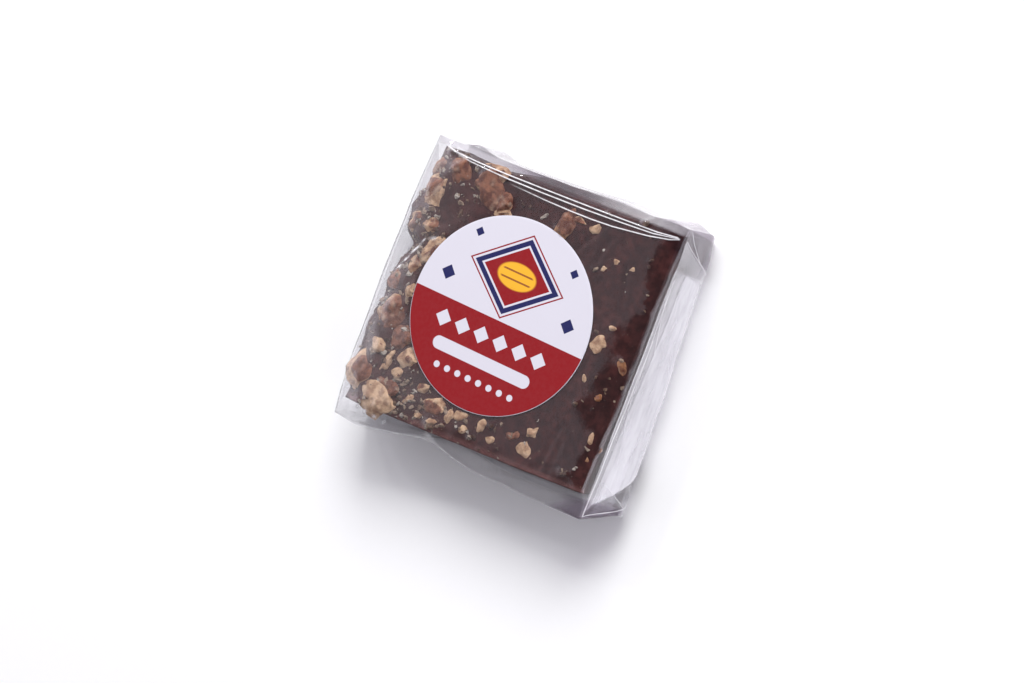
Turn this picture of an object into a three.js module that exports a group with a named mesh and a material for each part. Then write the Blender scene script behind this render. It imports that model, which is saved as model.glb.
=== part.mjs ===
// A slab of chocolate pecan fudge, sealed in folded clear film, with a round label stuck on top.
// Millimetres, +Z up. The origin is the middle of the slab's underside, on the surface it rests on.
// The wrapped slab is one closed solid: the film's outer form, with the pecans standing up under it.

import * as THREE from "three";

// The slab of fudge inside the wrap.
const SLAB_X = 71;
const SLAB_Y = 69;
const TOP = 18.6;

// The label: a standard two inch round, a little off the middle of the slab.
const LABEL_D = 50.8;
const LABEL_X = -3.3;
const LABEL_Y = -0.1;
const LABEL_T = 0.3;
const LABEL_GAP = 0.3;
const LABEL_SIDES = 72;
const LABEL_MARGIN = 1.2;

// How finely the wrap is divided: cells along each side of the slab.
const CELLS = 48;

// The film's four taut corners. Each reaches past the slab's corner at the rim, the
// shoulder height where the top sheet turns down, and again at the belly lower down.
// foot is how much of the belly's stand-off is left at the foot: little where the film is
// tucked under the slab, most of it at the left, where the broken side is upright.
const CORNERS = {
  frontLeft: { rim: [-3.7, -4.3], belly: [-2.8, -3.2], rimZ: 15.8, foot: 0.85 },
  frontRight: { rim: [-0.4, -5.5], belly: [5.0, -1.8], rimZ: 15.4, foot: 0.35 },
  backRight: { rim: [0.8, 1.4], belly: [2.6, 3.4], rimZ: 17.3, foot: 0.35 },
  backLeft: { rim: [-2.5, 2.3], belly: [-2.4, 2.8], rimZ: 16.8, foot: 0.85 },
};
const BELLY_Z = 5;

// Heights of the rings down the wall, as shares of the rim height.
const WALL_SHARES = [0, 0.05, 0.15, 0.3, 0.48, 0.66, 0.84, 1];

// Pulls and bulges of the taut film along the sides: where, how wide and how far out.
const FRONT_PINCH = { at: -9.5, width: 9, out: 2.6 };
const FRONT_BULGE = { at: -29, width: 5, out: 0.9 };
const BACK_PLEAT = { at: -24, width: 3.2, out: 1.3 };
const BACK_SLACK = { rim: -0.3, belly: -0.4 };
const LEFT_BOW = { rim: 0.9, belly: 0.9 };
const LEFT_BULGE = { at: -25, width: 8, out: 0.6 };
const RIGHT_BOW = { rim: 0.2, belly: 1.1 };
const CRINKLE = 0.14;

// Where the pecans lift the film's shoulder: all along the left, and near one end at the back.
const LEFT_LIFT = 1.2;
const BACK_LIFT = { at: -17, width: 9, out: 0.8 };

// The end flap, a trapezium folded down over the tucked-in corners, at both ends.
const FLAP_STEP = 0.35;
const FLAP_STEP_HIGHEST = 0.9;
const FLAP_FOOT_FRONT = -23;
const FLAP_FOOT_BACK = 27.5;
const FLAP_SOFTNESS = 1.6;

// The slab's top edges, just inside the film's corners: a slight rounding all round, within
// EDGE_WIDTH of the side, and a lower craggy stretch CRAG_WIDTH wide along the left.
const EDGE_INSET = 0.5;
const EDGE_WIDTH = 3.2;
const EDGE_DROP = 0.1;
const EDGE_PECAN_LOSS = 0.2;
const CRAG_DROP = 0.5;
const CRAG_WIDTH = 4;

// The pecan pieces: place, length and width, turn in degrees, and how far they stand up.
const PECANS = [
  { x: -28.6, y: 30.4, long: 8.2, wide: 6.0, turn: -50, rise: 1.0 },
  { x: -17.4, y: 27.4, long: 13.0, wide: 12.4, turn: -64, rise: 1.3 },
  { x: -19.8, y: 33.0, long: 10.4, wide: 4.6, turn: 8, rise: 1.1 },
  { x: -13.1, y: 23.8, long: 6.6, wide: 5.2, turn: 30, rise: 0.8 },
  { x: -32.9, y: 23.2, long: 11.0, wide: 7.4, turn: 72, rise: 1.3 },
  { x: -30.6, y: 14.9, long: 5.6, wide: 4.8, turn: 20, rise: 1.1 },
  { x: -34.4, y: 16.6, long: 5.0, wide: 4.2, turn: 40, rise: 0.6 },
  { x: -27.6, y: 9.2, long: 10.2, wide: 5.0, turn: 66, rise: 1.0 },
  { x: -30.9, y: 3.9, long: 5.0, wide: 4.2, turn: 80, rise: 1.0 },
  { x: -35.0, y: -1.2, long: 6.0, wide: 4.6, turn: 60, rise: 0.8 },
  { x: -31.8, y: -11.4, long: 11.6, wide: 7.6, turn: 62, rise: 1.3 },
  { x: -27.4, y: -13.6, long: 9.6, wide: 6.6, turn: 80, rise: 1.1 },
  { x: -24.0, y: -18.9, long: 5.8, wide: 5.0, turn: 30, rise: 1.0 },
  { x: -33.4, y: -18.6, long: 5.0, wide: 3.8, turn: -60, rise: 1.0 },
  { x: -29.6, y: -22.2, long: 6.4, wide: 3.8, turn: 70, rise: 1.0 },
  { x: -35.0, y: -26.6, long: 9.2, wide: 7.2, turn: 65, rise: 1.2 },
  { x: -28.4, y: -31.0, long: 12.4, wide: 8.2, turn: -6, rise: 1.4 },
  { x: -12.6, y: -27.4, long: 7.2, wide: 5.8, turn: -10, rise: 1.0 },
  { x: -4.4, y: -25.8, long: 5.6, wide: 4.0, turn: 50, rise: 0.7 },
  { x: 10.6, y: -26.2, long: 5.2, wide: 4.2, turn: 10, rise: 0.6 },
  { x: 16.0, y: -28.8, long: 5.6, wide: 5.2, turn: 60, rise: 0.7 },
  { x: 16.2, y: -24.4, long: 4.0, wide: 3.2, turn: 30, rise: 0.6 },
  { x: 25.0, y: 4.0, long: 8.4, wide: 5.8, turn: 74, rise: 0.8 },
  { x: 31.4, y: -1.6, long: 4.8, wide: 4.4, turn: 30, rise: 0.5 },
  { x: 4.9, y: 27.2, long: 12.4, wide: 4.8, turn: 77, rise: 1.0 },
  { x: 12.7, y: 28.6, long: 3.8, wide: 3.2, turn: 40, rise: 0.6 },
];

// The fudge's own surface: gentle waves all over, small crumbs towards the craggy left edge.
const WAVE_DEPTH = 0.14;
const CRUMB_HEIGHT = 0.45;
const CRUMB_FADE_START = -22;
const CRUMB_FADE_END = 10;

const HALF_X = SLAB_X / 2;
const HALF_Y = SLAB_Y / 2;
const { smoothstep, clamp, lerp, degToRad } = THREE.MathUtils;

function hump(position, { at, width, out }) {
  const d = (position - at) / width;
  return out * Math.exp(-d * d);
}

// Smooth repeatable unevenness between -1 and 1, from a few waves that never line up.
function ripple(a, b) {
  const first = Math.sin(0.71 * a + 1.3) * Math.cos(0.53 * b - 0.4);
  const second = Math.sin(1.67 * a - 0.9 * b + 2.1);
  const third = Math.cos(0.31 * a + 1.19 * b);
  return (first + 0.6 * second + 0.7 * third) / 2.3;
}

// One pecan piece: a rounded lump with steep sides, or nothing outside its outline.
function pecanRise(x, y, piece) {
  const turn = degToRad(piece.turn);
  const dx = x - piece.x;
  const dy = y - piece.y;
  const along = (dx * Math.cos(turn) + dy * Math.sin(turn)) / (piece.long / 2);
  const across = (dy * Math.cos(turn) - dx * Math.sin(turn)) / (piece.wide / 2);
  const inside = 1 - along * along - across * across;
  return inside > 0 ? piece.rise * Math.sqrt(inside) : 0;
}

// Height of the film over the slab: the fudge's waves and crumbs, or a pecan where one is higher.
function topRelief(x, y) {
  const toLabel = Math.hypot(x - LABEL_X, y - LABEL_Y) - LABEL_D / 2;
  const clearOfLabel = smoothstep(toLabel, LABEL_MARGIN, 3 * LABEL_MARGIN);
  const waves = WAVE_DEPTH * (ripple(0.35 * x, 0.4 * y) - 1);
  const crumbShare = 1 - smoothstep(x + 0.3 * y, CRUMB_FADE_START, CRUMB_FADE_END);
  const crumbs = CRUMB_HEIGHT * crumbShare * Math.max(0, ripple(2.1 * x, 1.9 * y));
  const pecans = Math.max(...PECANS.map((piece) => pecanRise(x, y, piece)));
  const nearEdge = Math.max(Math.abs(x) - HALF_X, Math.abs(y) - HALF_Y);
  const edge = smoothstep(nearEdge, -EDGE_WIDTH, -EDGE_INSET);
  const cragShare = smoothstep(-x, HALF_X - CRAG_WIDTH, HALF_X) * (0.6 + 0.4 * ripple(x, 2.6 * y));
  const raised = clearOfLabel * (waves + crumbs + pecans * (1 - EDGE_PECAN_LOSS * edge));
  return raised - EDGE_DROP * edge - CRAG_DROP * cragShare;
}

// The four sides in turn, anticlockwise seen from above: the corners they run between,
// the way out of each, the film's bow at a distance along it, and its shoulder's lift there.
const SIDES = [
  {
    from: "frontLeft",
    to: "frontRight",
    out: [0, -1],
    bow: (x) => hump(x, FRONT_BULGE) - hump(x, FRONT_PINCH),
  },
  {
    from: "frontRight",
    to: "backRight",
    out: [1, 0],
    bow: (y, low) => archOf(y / HALF_Y) * lerp(RIGHT_BOW.rim, RIGHT_BOW.belly, low),
    flap: true,
  },
  {
    from: "backRight",
    to: "backLeft",
    out: [0, 1],
    bow: (x, low) => {
      const slack = archOf(x / HALF_X) * lerp(BACK_SLACK.rim, BACK_SLACK.belly, low);
      return slack + hump(x, BACK_PLEAT);
    },
    lift: (x) => hump(x, BACK_LIFT),
  },
  {
    from: "backLeft",
    to: "frontLeft",
    out: [-1, 0],
    bow: (y, low) => {
      const slack = archOf(y / HALF_Y) * lerp(LEFT_BOW.rim, LEFT_BOW.belly, low);
      return slack + hump(y, LEFT_BULGE);
    },
    lift: (y) => LEFT_LIFT * archOf(y / HALF_Y),
    flap: true,
  },
];

function archOf(t) {
  return 1 - clamp(t * t, 0, 1);
}

function cornerOf(name) {
  const x = name.endsWith("Left") ? -HALF_X : HALF_X;
  const y = name.startsWith("front") ? -HALF_Y : HALF_Y;
  return [x, y];
}

// How far a corner's film reaches past the slab at a share of its rim height.
function reachOf(corner, share) {
  const z = share * corner.rimZ;
  if (z >= BELLY_Z) {
    const up = smoothstep(z, BELLY_Z, corner.rimZ);
    return [0, 1].map((k) => lerp(corner.belly[k], corner.rim[k], up));
  }
  const foot = lerp(corner.foot, 1, Math.sin((z / BELLY_Z) * (Math.PI / 2)));
  return corner.belly.map((reach) => reach * foot);
}

// The end flap lies over the corner tucks, so the wall steps in outside its slanting edges.
function flapStep(y, share) {
  const front = lerp(FLAP_FOOT_FRONT, -HALF_Y, share);
  const back = lerp(FLAP_FOOT_BACK, HALF_Y, share);
  const inFromFront = smoothstep(y - front, -FLAP_SOFTNESS, 0);
  const inFromBack = smoothstep(back - y, -FLAP_SOFTNESS, 0);
  return FLAP_STEP * (inFromFront * inFromBack - 1) * Math.sin(Math.PI * Math.min(share, FLAP_STEP_HIGHEST));
}

// A point of the wall: on a side, at a distance along it, at a share of the rim height.
function wallPoint(side, t, share) {
  const [x0, y0] = cornerOf(side.from);
  const [x1, y1] = cornerOf(side.to);
  const reach0 = reachOf(CORNERS[side.from], share);
  const reach1 = reachOf(CORNERS[side.to], share);
  const slabX = lerp(x0, x1, t);
  const slabY = lerp(y0, y1, t);
  const along = side.out[0] === 0 ? slabX : slabY;
  const lift = side.lift ? side.lift(along) : 0;
  const z = share * (lerp(CORNERS[side.from].rimZ, CORNERS[side.to].rimZ, t) + lift);
  const footShare = lerp(CORNERS[side.from].foot, CORNERS[side.to].foot, t);
  const footFade = lerp(footShare, 1, smoothstep(z, 0, BELLY_Z));
  const sideFade = archOf(2 * t - 1);
  let out = side.bow(along, 1 - share) * footFade;
  out += CRINKLE * ripple(along, 1.7 * z) * Math.min(1, 3 * sideFade) * smoothstep(z, 0, 2);
  if (side.flap) {
    out += flapStep(slabY, share);
  }
  return [
    slabX + lerp(reach0[0], reach1[0], t) + side.out[0] * out,
    slabY + lerp(reach0[1], reach1[1], t) + side.out[1] * out,
    z,
  ];
}

// Position on the slab's top edge, or on the grid inside it, from two shares across the slab.
function topPoint(u, v) {
  const x = lerp(-HALF_X + EDGE_INSET, HALF_X - EDGE_INSET, u);
  const y = lerp(-HALF_Y + EDGE_INSET, HALF_Y - EDGE_INSET, v);
  return [x, y, TOP + topRelief(x, y)];
}

// Grid places round the top edge in the same order as the walls' points.
function edgeCells() {
  const cells = [];
  for (let i = 0; i < CELLS; i += 1) {
    cells.push([i, 0]);
  }
  for (let j = 0; j < CELLS; j += 1) {
    cells.push([CELLS, j]);
  }
  for (let i = CELLS; i > 0; i -= 1) {
    cells.push([i, CELLS]);
  }
  for (let j = CELLS; j > 0; j -= 1) {
    cells.push([0, j]);
  }
  return cells;
}

// The wrapped slab: a flat foot, rings up the wall to the rim, and the top sheet's grid.
function wrappedFudgeGeometry() {
  const points = [];
  const faces = [];
  const around = 4 * CELLS;

  for (const share of WALL_SHARES) {
    for (const side of SIDES) {
      for (let i = 0; i < CELLS; i += 1) {
        points.push(wallPoint(side, i / CELLS, share));
      }
    }
  }
  const gridStart = points.length;
  for (let j = 0; j <= CELLS; j += 1) {
    for (let i = 0; i <= CELLS; i += 1) {
      points.push(topPoint(i / CELLS, j / CELLS));
    }
  }
  const footCentre = points.length;
  points.push([0, 0, 0]);

  const grid = (i, j) => gridStart + j * (CELLS + 1) + i;
  const edge = edgeCells().map(([i, j]) => grid(i, j));
  const rings = WALL_SHARES.map((_, k) => Array.from({ length: around }, (_, i) => k * around + i));
  rings.push(edge);

  for (let k = 0; k + 1 < rings.length; k += 1) {
    for (let i = 0; i < around; i += 1) {
      const next = (i + 1) % around;
      faces.push([rings[k][i], rings[k][next], rings[k + 1][next]]);
      faces.push([rings[k][i], rings[k + 1][next], rings[k + 1][i]]);
    }
  }
  for (let j = 0; j < CELLS; j += 1) {
    for (let i = 0; i < CELLS; i += 1) {
      faces.push([grid(i, j), grid(i + 1, j), grid(i + 1, j + 1)]);
      faces.push([grid(i, j), grid(i + 1, j + 1), grid(i, j + 1)]);
    }
  }
  for (let i = 0; i < around; i += 1) {
    faces.push([footCentre, rings[0][(i + 1) % around], rings[0][i]]);
  }

  const geometry = new THREE.BufferGeometry();
  geometry.setAttribute("position", new THREE.Float32BufferAttribute(points.flat(), 3));
  geometry.setIndex(faces.flat());
  geometry.computeVertexNormals();
  return geometry;
}

// The label: a thin paper disc with its upper edge a little eased.
function labelGeometry() {
  const radius = LABEL_D / 2;
  const ease = LABEL_T / 3;
  const profile = [
    new THREE.Vector2(0, 0),
    new THREE.Vector2(radius, 0),
    new THREE.Vector2(radius, LABEL_T - ease),
    new THREE.Vector2(radius - ease, LABEL_T),
    new THREE.Vector2(0, LABEL_T),
  ];
  const geometry = new THREE.LatheGeometry(profile, LABEL_SIDES);
  geometry.rotateX(Math.PI / 2);
  return geometry;
}

function namedMesh(name, geometry, finish) {
  const mesh = new THREE.Mesh(geometry, new THREE.MeshStandardMaterial(finish));
  mesh.name = name;
  return mesh;
}

const fudge = namedMesh("wrapped_fudge", wrappedFudgeGeometry(), {
  color: 0x4b302b,
  roughness: 0.35,
  metalness: 0,
});

const label = namedMesh("label", labelGeometry(), {
  color: 0xece9f0,
  roughness: 0.5,
  metalness: 0,
});
label.position.set(LABEL_X, LABEL_Y, TOP + LABEL_GAP);

const part = new THREE.Group();
part.add(fudge, label);

export default part;
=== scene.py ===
# %% [markdown]
# # A wrapped slab of chocolate pecan fudge
#
# This lesson dresses a slab of fudge, about 71 mm square, sealed in clear film with a round paper label on
# top. The packed model gives the size and the place of the label, and with it the height of the film's top.
# Everything that is seen is then made round it, from the inside out: the fudge, the chopped pecans
# pressed into it, their crumbs, the film drawn over them all, and the label stuck to the film.

# %% Load the packed model as the fixed frame
import math

import bmesh
import bpy
import numpy as np
from mathutils import Matrix, Vector


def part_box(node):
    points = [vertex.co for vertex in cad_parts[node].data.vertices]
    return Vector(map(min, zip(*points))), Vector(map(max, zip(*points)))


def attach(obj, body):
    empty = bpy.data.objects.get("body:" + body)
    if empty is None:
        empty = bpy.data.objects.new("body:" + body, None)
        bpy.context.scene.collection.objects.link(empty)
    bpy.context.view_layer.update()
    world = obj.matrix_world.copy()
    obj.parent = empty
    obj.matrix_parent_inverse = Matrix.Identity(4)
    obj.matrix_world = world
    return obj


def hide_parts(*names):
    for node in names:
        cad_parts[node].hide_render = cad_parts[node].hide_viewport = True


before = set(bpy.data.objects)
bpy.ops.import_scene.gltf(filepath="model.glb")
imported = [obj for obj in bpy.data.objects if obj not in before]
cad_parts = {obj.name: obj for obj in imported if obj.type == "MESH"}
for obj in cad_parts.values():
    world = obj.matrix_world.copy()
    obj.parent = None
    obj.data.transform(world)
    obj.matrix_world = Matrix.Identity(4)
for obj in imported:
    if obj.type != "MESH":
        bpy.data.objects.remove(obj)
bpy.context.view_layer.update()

# %% [markdown]
# ## Sizes
#
# The script thinks in millimetres and turns them into metres only when a mesh is made. The label's
# box says where the label is and how high the film's flat top lies. The slab's own size is fixed:
# it is a cut square, a little wider than it is deep.

# %% Read the driving sizes
MM = 0.001
LABEL_GAP = 0.3
HALF_X = 35.5
HALF_Y = 34.5

label_low, label_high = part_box("label")
LABEL_X = (label_low.x + label_high.x) / 2 / MM
LABEL_Y = (label_low.y + label_high.y) / 2 / MM
LABEL_R = (label_high.x - label_low.x) / 2 / MM
TOP = label_low.z / MM - LABEL_GAP
print(f"label of {2 * LABEL_R:.1f} mm at ({LABEL_X:.1f}, {LABEL_Y:.1f}), film's top at {TOP:.2f} mm")

# %% [markdown]
# ## Camera
#
# The slab lies flat, and the camera looks down on it from 26 degrees off the vertical with a long
# lens. It is also rolled, so the slab's sides run slantwise across the picture. The three angles
# turn into three axes, and the camera stands back along the third one.

# %% Place the camera
AZIMUTH = math.radians(7.30)
ELEVATION = math.radians(64.04)
ROLL = math.radians(-76.16)
DISTANCE = 1200.0
SHIFT_RIGHT = -7.88
SHIFT_UP = -3.45
LENS = 166.1

towards_camera = Vector((
    math.cos(AZIMUTH) * math.cos(ELEVATION),
    math.sin(AZIMUTH) * math.cos(ELEVATION),
    math.sin(ELEVATION),
))
level_up = (Vector((0, 0, 1)) - towards_camera * towards_camera.z).normalized()
level_right = level_up.cross(towards_camera)
camera_right = level_right * math.cos(ROLL) + level_up * math.sin(ROLL)
camera_up = level_up * math.cos(ROLL) - level_right * math.sin(ROLL)

camera_data = bpy.data.cameras.new("camera")
camera_data.lens = LENS
camera_data.sensor_width = 36.0
camera_data.clip_start = 0.05
camera_data.clip_end = 20.0
camera = bpy.data.objects.new("camera", camera_data)
turn = Matrix((camera_right, camera_up, towards_camera)).transposed()
place = towards_camera * DISTANCE + camera_right * SHIFT_RIGHT + camera_up * SHIFT_UP
camera.matrix_world = Matrix.Translation(place * MM) @ turn.to_4x4()
bpy.context.scene.collection.objects.link(camera)
bpy.context.scene.camera = camera
print("camera at", [round(v, 3) for v in camera.matrix_world.translation])

# %% [markdown]
# ## A short way to write materials
#
# A material here is a small graph of nodes. Writing each node and each link on its own takes many
# lines, so this helper adds a node, fills its inputs from numbers or from other nodes' outputs, and
# gives back its first output. The rest are short names for the nodes that are used most.

# %% Write the material helper
class Finish:
    """A new material with short ways to add nodes to it."""

    def __init__(self, name):
        self.material = bpy.data.materials.new(name)
        self.material.use_nodes = True
        self.tree = self.material.node_tree
        self.tree.nodes.clear()

    def fill(self, socket, value):
        if isinstance(value, bpy.types.NodeSocket):
            self.tree.links.new(value, socket)
        elif value is not None:
            socket.default_value = value

    def add(self, kind, *inputs, settings=None, output=0, **named):
        node = self.tree.nodes.new("ShaderNode" + kind)
        for key, value in (settings or {}).items():
            setattr(node, key, value)
        for index, value in enumerate(inputs):
            self.fill(node.inputs[index], value)
        for key, value in named.items():
            self.fill(node.inputs[key.replace("_", " ")], value)
        return node.outputs[output]

    def math(self, operation, *inputs, clamp=False):
        return self.add("Math", *inputs, settings={"operation": operation, "use_clamp": clamp})

    def vector(self, operation, *inputs, output=0):
        return self.add("VectorMath", *inputs, settings={"operation": operation}, output=output)

    def ramp(self, value, low, high, to_low=0.0, to_high=1.0):
        settings = {"interpolation_type": "SMOOTHSTEP"}
        return self.add("MapRange", value, low, high, to_low, to_high, settings=settings)

    def mix(self, share, first, second, blend="MIX"):
        node = self.tree.nodes.new("ShaderNodeMix")
        node.data_type = "RGBA"
        node.blend_type = blend
        for name, value in (("Factor_Float", share), ("A_Color", first), ("B_Color", second)):
            self.fill(next(s for s in node.inputs if s.identifier == name), value)
        return next(s for s in node.outputs if s.identifier == "Result_Color")

    def attribute(self, name):
        return self.add("Attribute", settings={"attribute_name": name}, output=2)

    def millimetres(self):
        place = self.add("TexCoord", output=3)
        return self.vector("MULTIPLY", place, (1 / MM,) * 3)

    def noise(self, vector, scale, detail=3.0, roughness=0.55):
        return self.add("TexNoise", vector, Scale=scale, Detail=detail, Roughness=roughness)

    def finish(self, surface):
        output = self.tree.nodes.new("ShaderNodeOutputMaterial")
        self.tree.links.new(surface, output.inputs["Surface"])
        return self.material


print("a finish is:", Finish.__doc__)

# %% [markdown]
# Colours are linear light from 0 to 1, not the values of a picture file, so a mid grey on the screen
# is about 0.2 here. Blender wants a fourth number, how solid the colour is, and it is always 1.

# %% Write the colour helper
def colour(red, green, blue):
    """A linear colour with full alpha."""
    return (red, green, blue, 1.0)


print("white is", colour(1.0, 1.0, 1.0))

# %% [markdown]
# ## The floor
#
# The slab lies on a plain, nearly white sheet of paper. A flat square of mesh is enough for it, with a
# grain so faint that it only keeps the white from looking computed.

# %% Lay the floor
FLOOR_SIZE = 6.0
FLOOR_WHITE = 0.97

floor_mesh = bpy.data.meshes.new("floor")
half_floor = FLOOR_SIZE / 2
corners = [(-half_floor, -half_floor, 0), (half_floor, -half_floor, 0),
           (half_floor, half_floor, 0), (-half_floor, half_floor, 0)]
floor_mesh.from_pydata(corners, [], [(0, 1, 2, 3)])
floor = bpy.data.objects.new("floor", floor_mesh)
bpy.context.scene.collection.objects.link(floor)

paper = Finish("floor paper")
grain = paper.noise(paper.millimetres(), 0.4)
tone = paper.mix(grain, colour(*(FLOOR_WHITE - 0.01,) * 3), colour(*(FLOOR_WHITE + 0.01,) * 3))
floor_mesh.materials.append(paper.finish(paper.add("BsdfDiffuse", tone)))
print("floor of", FLOOR_SIZE, "m")

# %% [markdown]
# ## The room
#
# The film is a mirror for whatever is above it, so the room matters as much as the lamps. A world
# shader can be painted by direction: each ramp below fades from one brightness to another along an
# axis of the direction that is looked in. Straight overhead hangs a dark card, where a real camera
# would be. The edge between the pale room and that card is what draws the dark band along the slab's
# right side.

# %% Write the room's ramps
ROOM_GLOW = 0.40
CARD_GLOW = 0.03
LEFT_GLOW = 1.5
RIGHT_GLOW = 1.8
FRONT_SHARE = 0.10
CARD_CENTRE = Vector((0.22, -0.05, 0.97)).normalized()
CARD_INNER = math.cos(math.radians(23.0))
CARD_OUTER = math.cos(math.radians(29.5))

room = bpy.data.worlds.new("room")
room.use_nodes = True
bpy.context.scene.world = room


def room_node(kind, operation=None):
    node = room.node_tree.nodes.new("ShaderNode" + kind)
    if operation:
        node.operation = operation
    return node


def room_ramp(source, low, high, to_low, to_high):
    node = room_node("MapRange")
    node.interpolation_type = "SMOOTHSTEP"
    for value, socket in zip((low, high, to_low, to_high), list(node.inputs)[1:5]):
        socket.default_value = value
    room.node_tree.links.new(source, node.inputs[0])
    return node.outputs[0]


print("a dark card overhead, pale walls left and right")

# %% [markdown]
# Four ramps make the room: the card, the brighter wall on the right, the one on the left, and less
# light from low in front. The card and the dim front multiply each other, and the walls are added.

# %% Paint the room
looking = room_node("TexCoord").outputs["Generated"]
towards = room_node("VectorMath", "DOT_PRODUCT")
towards.inputs[1].default_value = CARD_CENTRE
room.node_tree.links.new(looking, towards.inputs[0])
axes = room_node("SeparateXYZ")
room.node_tree.links.new(looking, axes.inputs[0])
overhead = room_ramp(towards.outputs["Value"], CARD_OUTER, CARD_INNER, ROOM_GLOW, CARD_GLOW)
right_wall = room_ramp(axes.outputs["X"], 0.55, 0.95, 0.0, RIGHT_GLOW)
left_wall = room_ramp(axes.outputs["X"], -0.95, -0.55, LEFT_GLOW, 0.0)
walls = room_node("Math", "ADD")
room.node_tree.links.new(right_wall, walls.inputs[0])
room.node_tree.links.new(left_wall, walls.inputs[1])
dark_front = room_ramp(axes.outputs["Y"], -0.75, -0.08, FRONT_SHARE, 1.0)
dimmed = room_node("Math", "MULTIPLY")
room.node_tree.links.new(overhead, dimmed.inputs[0])
room.node_tree.links.new(dark_front, dimmed.inputs[1])
glow = room_node("Math", "ADD")
room.node_tree.links.new(dimmed.outputs[0], glow.inputs[0])
room.node_tree.links.new(walls.outputs[0], glow.inputs[1])
backdrop = room.node_tree.nodes["Background"]
backdrop.inputs["Color"].default_value = colour(1.0, 0.98, 1.07)
room.node_tree.links.new(glow.outputs[0], backdrop.inputs["Strength"])
print("the room's glow is", ROOM_GLOW, "of full white")

# %% [markdown]
# ## The lamps
#
# One large softbox stands behind the slab, high and a little to its left, so that the shadow falls
# forward and to the front. It isn't seen in the film, because a broad white patch there would hide
# the fudge. A second, small lamp is there only to be mirrored: it gives the nuts' side of the film
# its bright sparks. Area lamps are the plain way to make both.

# %% Hang the lamps
SOFTBOX_SIZE = (0.75, 0.6)
SOFTBOX_POWER = 13.6
SPARK_SIZE = (0.09, 0.09)
SPARK_POWER = 1.2
LAMP_AWAY = 1.1


def lamp(name, where, away, size, power, mirrored):
    """An area lamp that faces the slab."""
    data = bpy.data.lights.new(name, "AREA")
    data.shape = "RECTANGLE"
    data.size, data.size_y = size
    data.energy = power
    where = where.normalized()
    made = bpy.data.objects.new(name, data)
    made.matrix_world = (Matrix.Translation(where * away)
                         @ where.to_track_quat("Z", "Y").to_matrix().to_4x4())
    made.visible_glossy = mirrored
    bpy.context.scene.collection.objects.link(made)
    print(name, "of", power, "W,", away, "m away")


lamp("softbox", Vector((-0.03, 0.79, 0.61)), LAMP_AWAY, SOFTBOX_SIZE, SOFTBOX_POWER, False)
lamp("strip_light", Vector((-0.60, 0.48, 0.64)), LAMP_AWAY, SPARK_SIZE, SPARK_POWER, True)
bpy.context.scene.view_settings.view_transform = "Standard"
bpy.context.scene.cycles.transparent_max_bounces = 32
bpy.context.scene.cycles.diffuse_bounces = 6

# %% [markdown]
# ## Unevenness
#
# Food is never smooth, and the same kind of unevenness is needed at many sizes: lumps of a few
# millimetres, crumbly edges of half a millimetre. Random numbers on a lattice, blended smoothly
# between its places and added up over a few octaves, give it. The numbers come from a fixed sum on
# each place, so the slab is the same on every run.

# %% Write the unevenness
def lattice(ix, iy, iz, seed):
    """A repeatable random number from 0 to 1 for each whole-number place."""
    h = (ix * 374761393 + iy * 668265263 + iz * 1440662683 + seed * 974634777) & 0xFFFFFFFF
    h = ((h ^ (h >> 13)) * 1274126177) & 0xFFFFFFFF
    return ((h ^ (h >> 16)) & 0xFFFF) / 65535.0


def cloud(points, size, seed, octaves=3):
    """Smooth unevenness from -1 to 1 at each point, with lumps of about the given size in mm."""
    points = np.asarray(points, float)
    total = np.zeros(len(points))
    weight = 1.0
    weights = 0.0
    for octave in range(octaves):
        places = points / size * 2 ** octave + 17.3 * octave
        cell = np.floor(places).astype(np.int64)
        near = places - cell
        near = near * near * (3 - 2 * near)
        value = np.zeros(len(points))
        for corner in range(8):
            step = np.array([corner & 1, corner >> 1 & 1, corner >> 2 & 1])
            share = np.prod(np.where(step, near, 1 - near), axis=1)
            value += share * lattice(*(cell + step).T, seed + octave)
        total += weight * (2 * value - 1)
        weights += weight
        weight *= 0.5
    return total / weights


print("lumps between", cloud(np.random.default_rng(1).uniform(0, 50, (500, 3)), 5, 1).round(2)[:3])

# %% [markdown]
# Most shapes below are a sum of simple parts, each with a place where it fades in and out. These
# short helpers say that: an S-shaped step, an arch over a wall's length, the distance to a bent line,
# and a way to turn grids of numbers into a list of points.

# %% Write the small shape helpers
def smooth(value, low, high):
    """0 below low, 1 above high, and an even S between them."""
    t = np.clip((np.asarray(value, float) - low) / (high - low), 0, 1)
    return t * t * (3 - 2 * t)


def arch(t):
    """1 halfway along a wall and 0 at its ends; t runs from -1 to 1."""
    return 1 - np.minimum(np.asarray(t) ** 2, 1)


def away_from_line(x, y, places, shares):
    """Distance from each point to a line of places, and the share there."""
    best = np.full(np.shape(x), 1e9)
    strength = np.zeros(np.shape(x))
    for k in range(len(places) - 1):
        (x0, y0), (x1, y1) = places[k], places[k + 1]
        length = math.hypot(x1 - x0, y1 - y0)
        t = np.clip(((x - x0) * (x1 - x0) + (y - y0) * (y1 - y0)) / length ** 2, 0, 1)
        gap = np.hypot(x - x0 - t * (x1 - x0), y - y0 - t * (y1 - y0))
        nearer = gap < best
        best = np.where(nearer, gap, best)
        strength = np.where(nearer, shares[k] + t * (shares[k + 1] - shares[k]), strength)
    return best, strength


def flat(x, y, z=0.0):
    """Three arrays of one shape as a list of points."""
    x, y, z = np.broadcast_arrays(x, y, z)
    return np.stack([x.ravel(), y.ravel(), z.ravel()], axis=1)


print("halfway up a step:", smooth(0.5, 0, 1), "and halfway along a wall:", arch(0.0))

# %% [markdown]
# ## A closed shell from a grid and its rings
#
# The fudge and the film share one layout. A grid makes the top. Rings with as many points as the
# grid's border run down the sides, and a few smaller rings close the underside. The grid can be
# finer along one edge, where small wrinkles lie.

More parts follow.
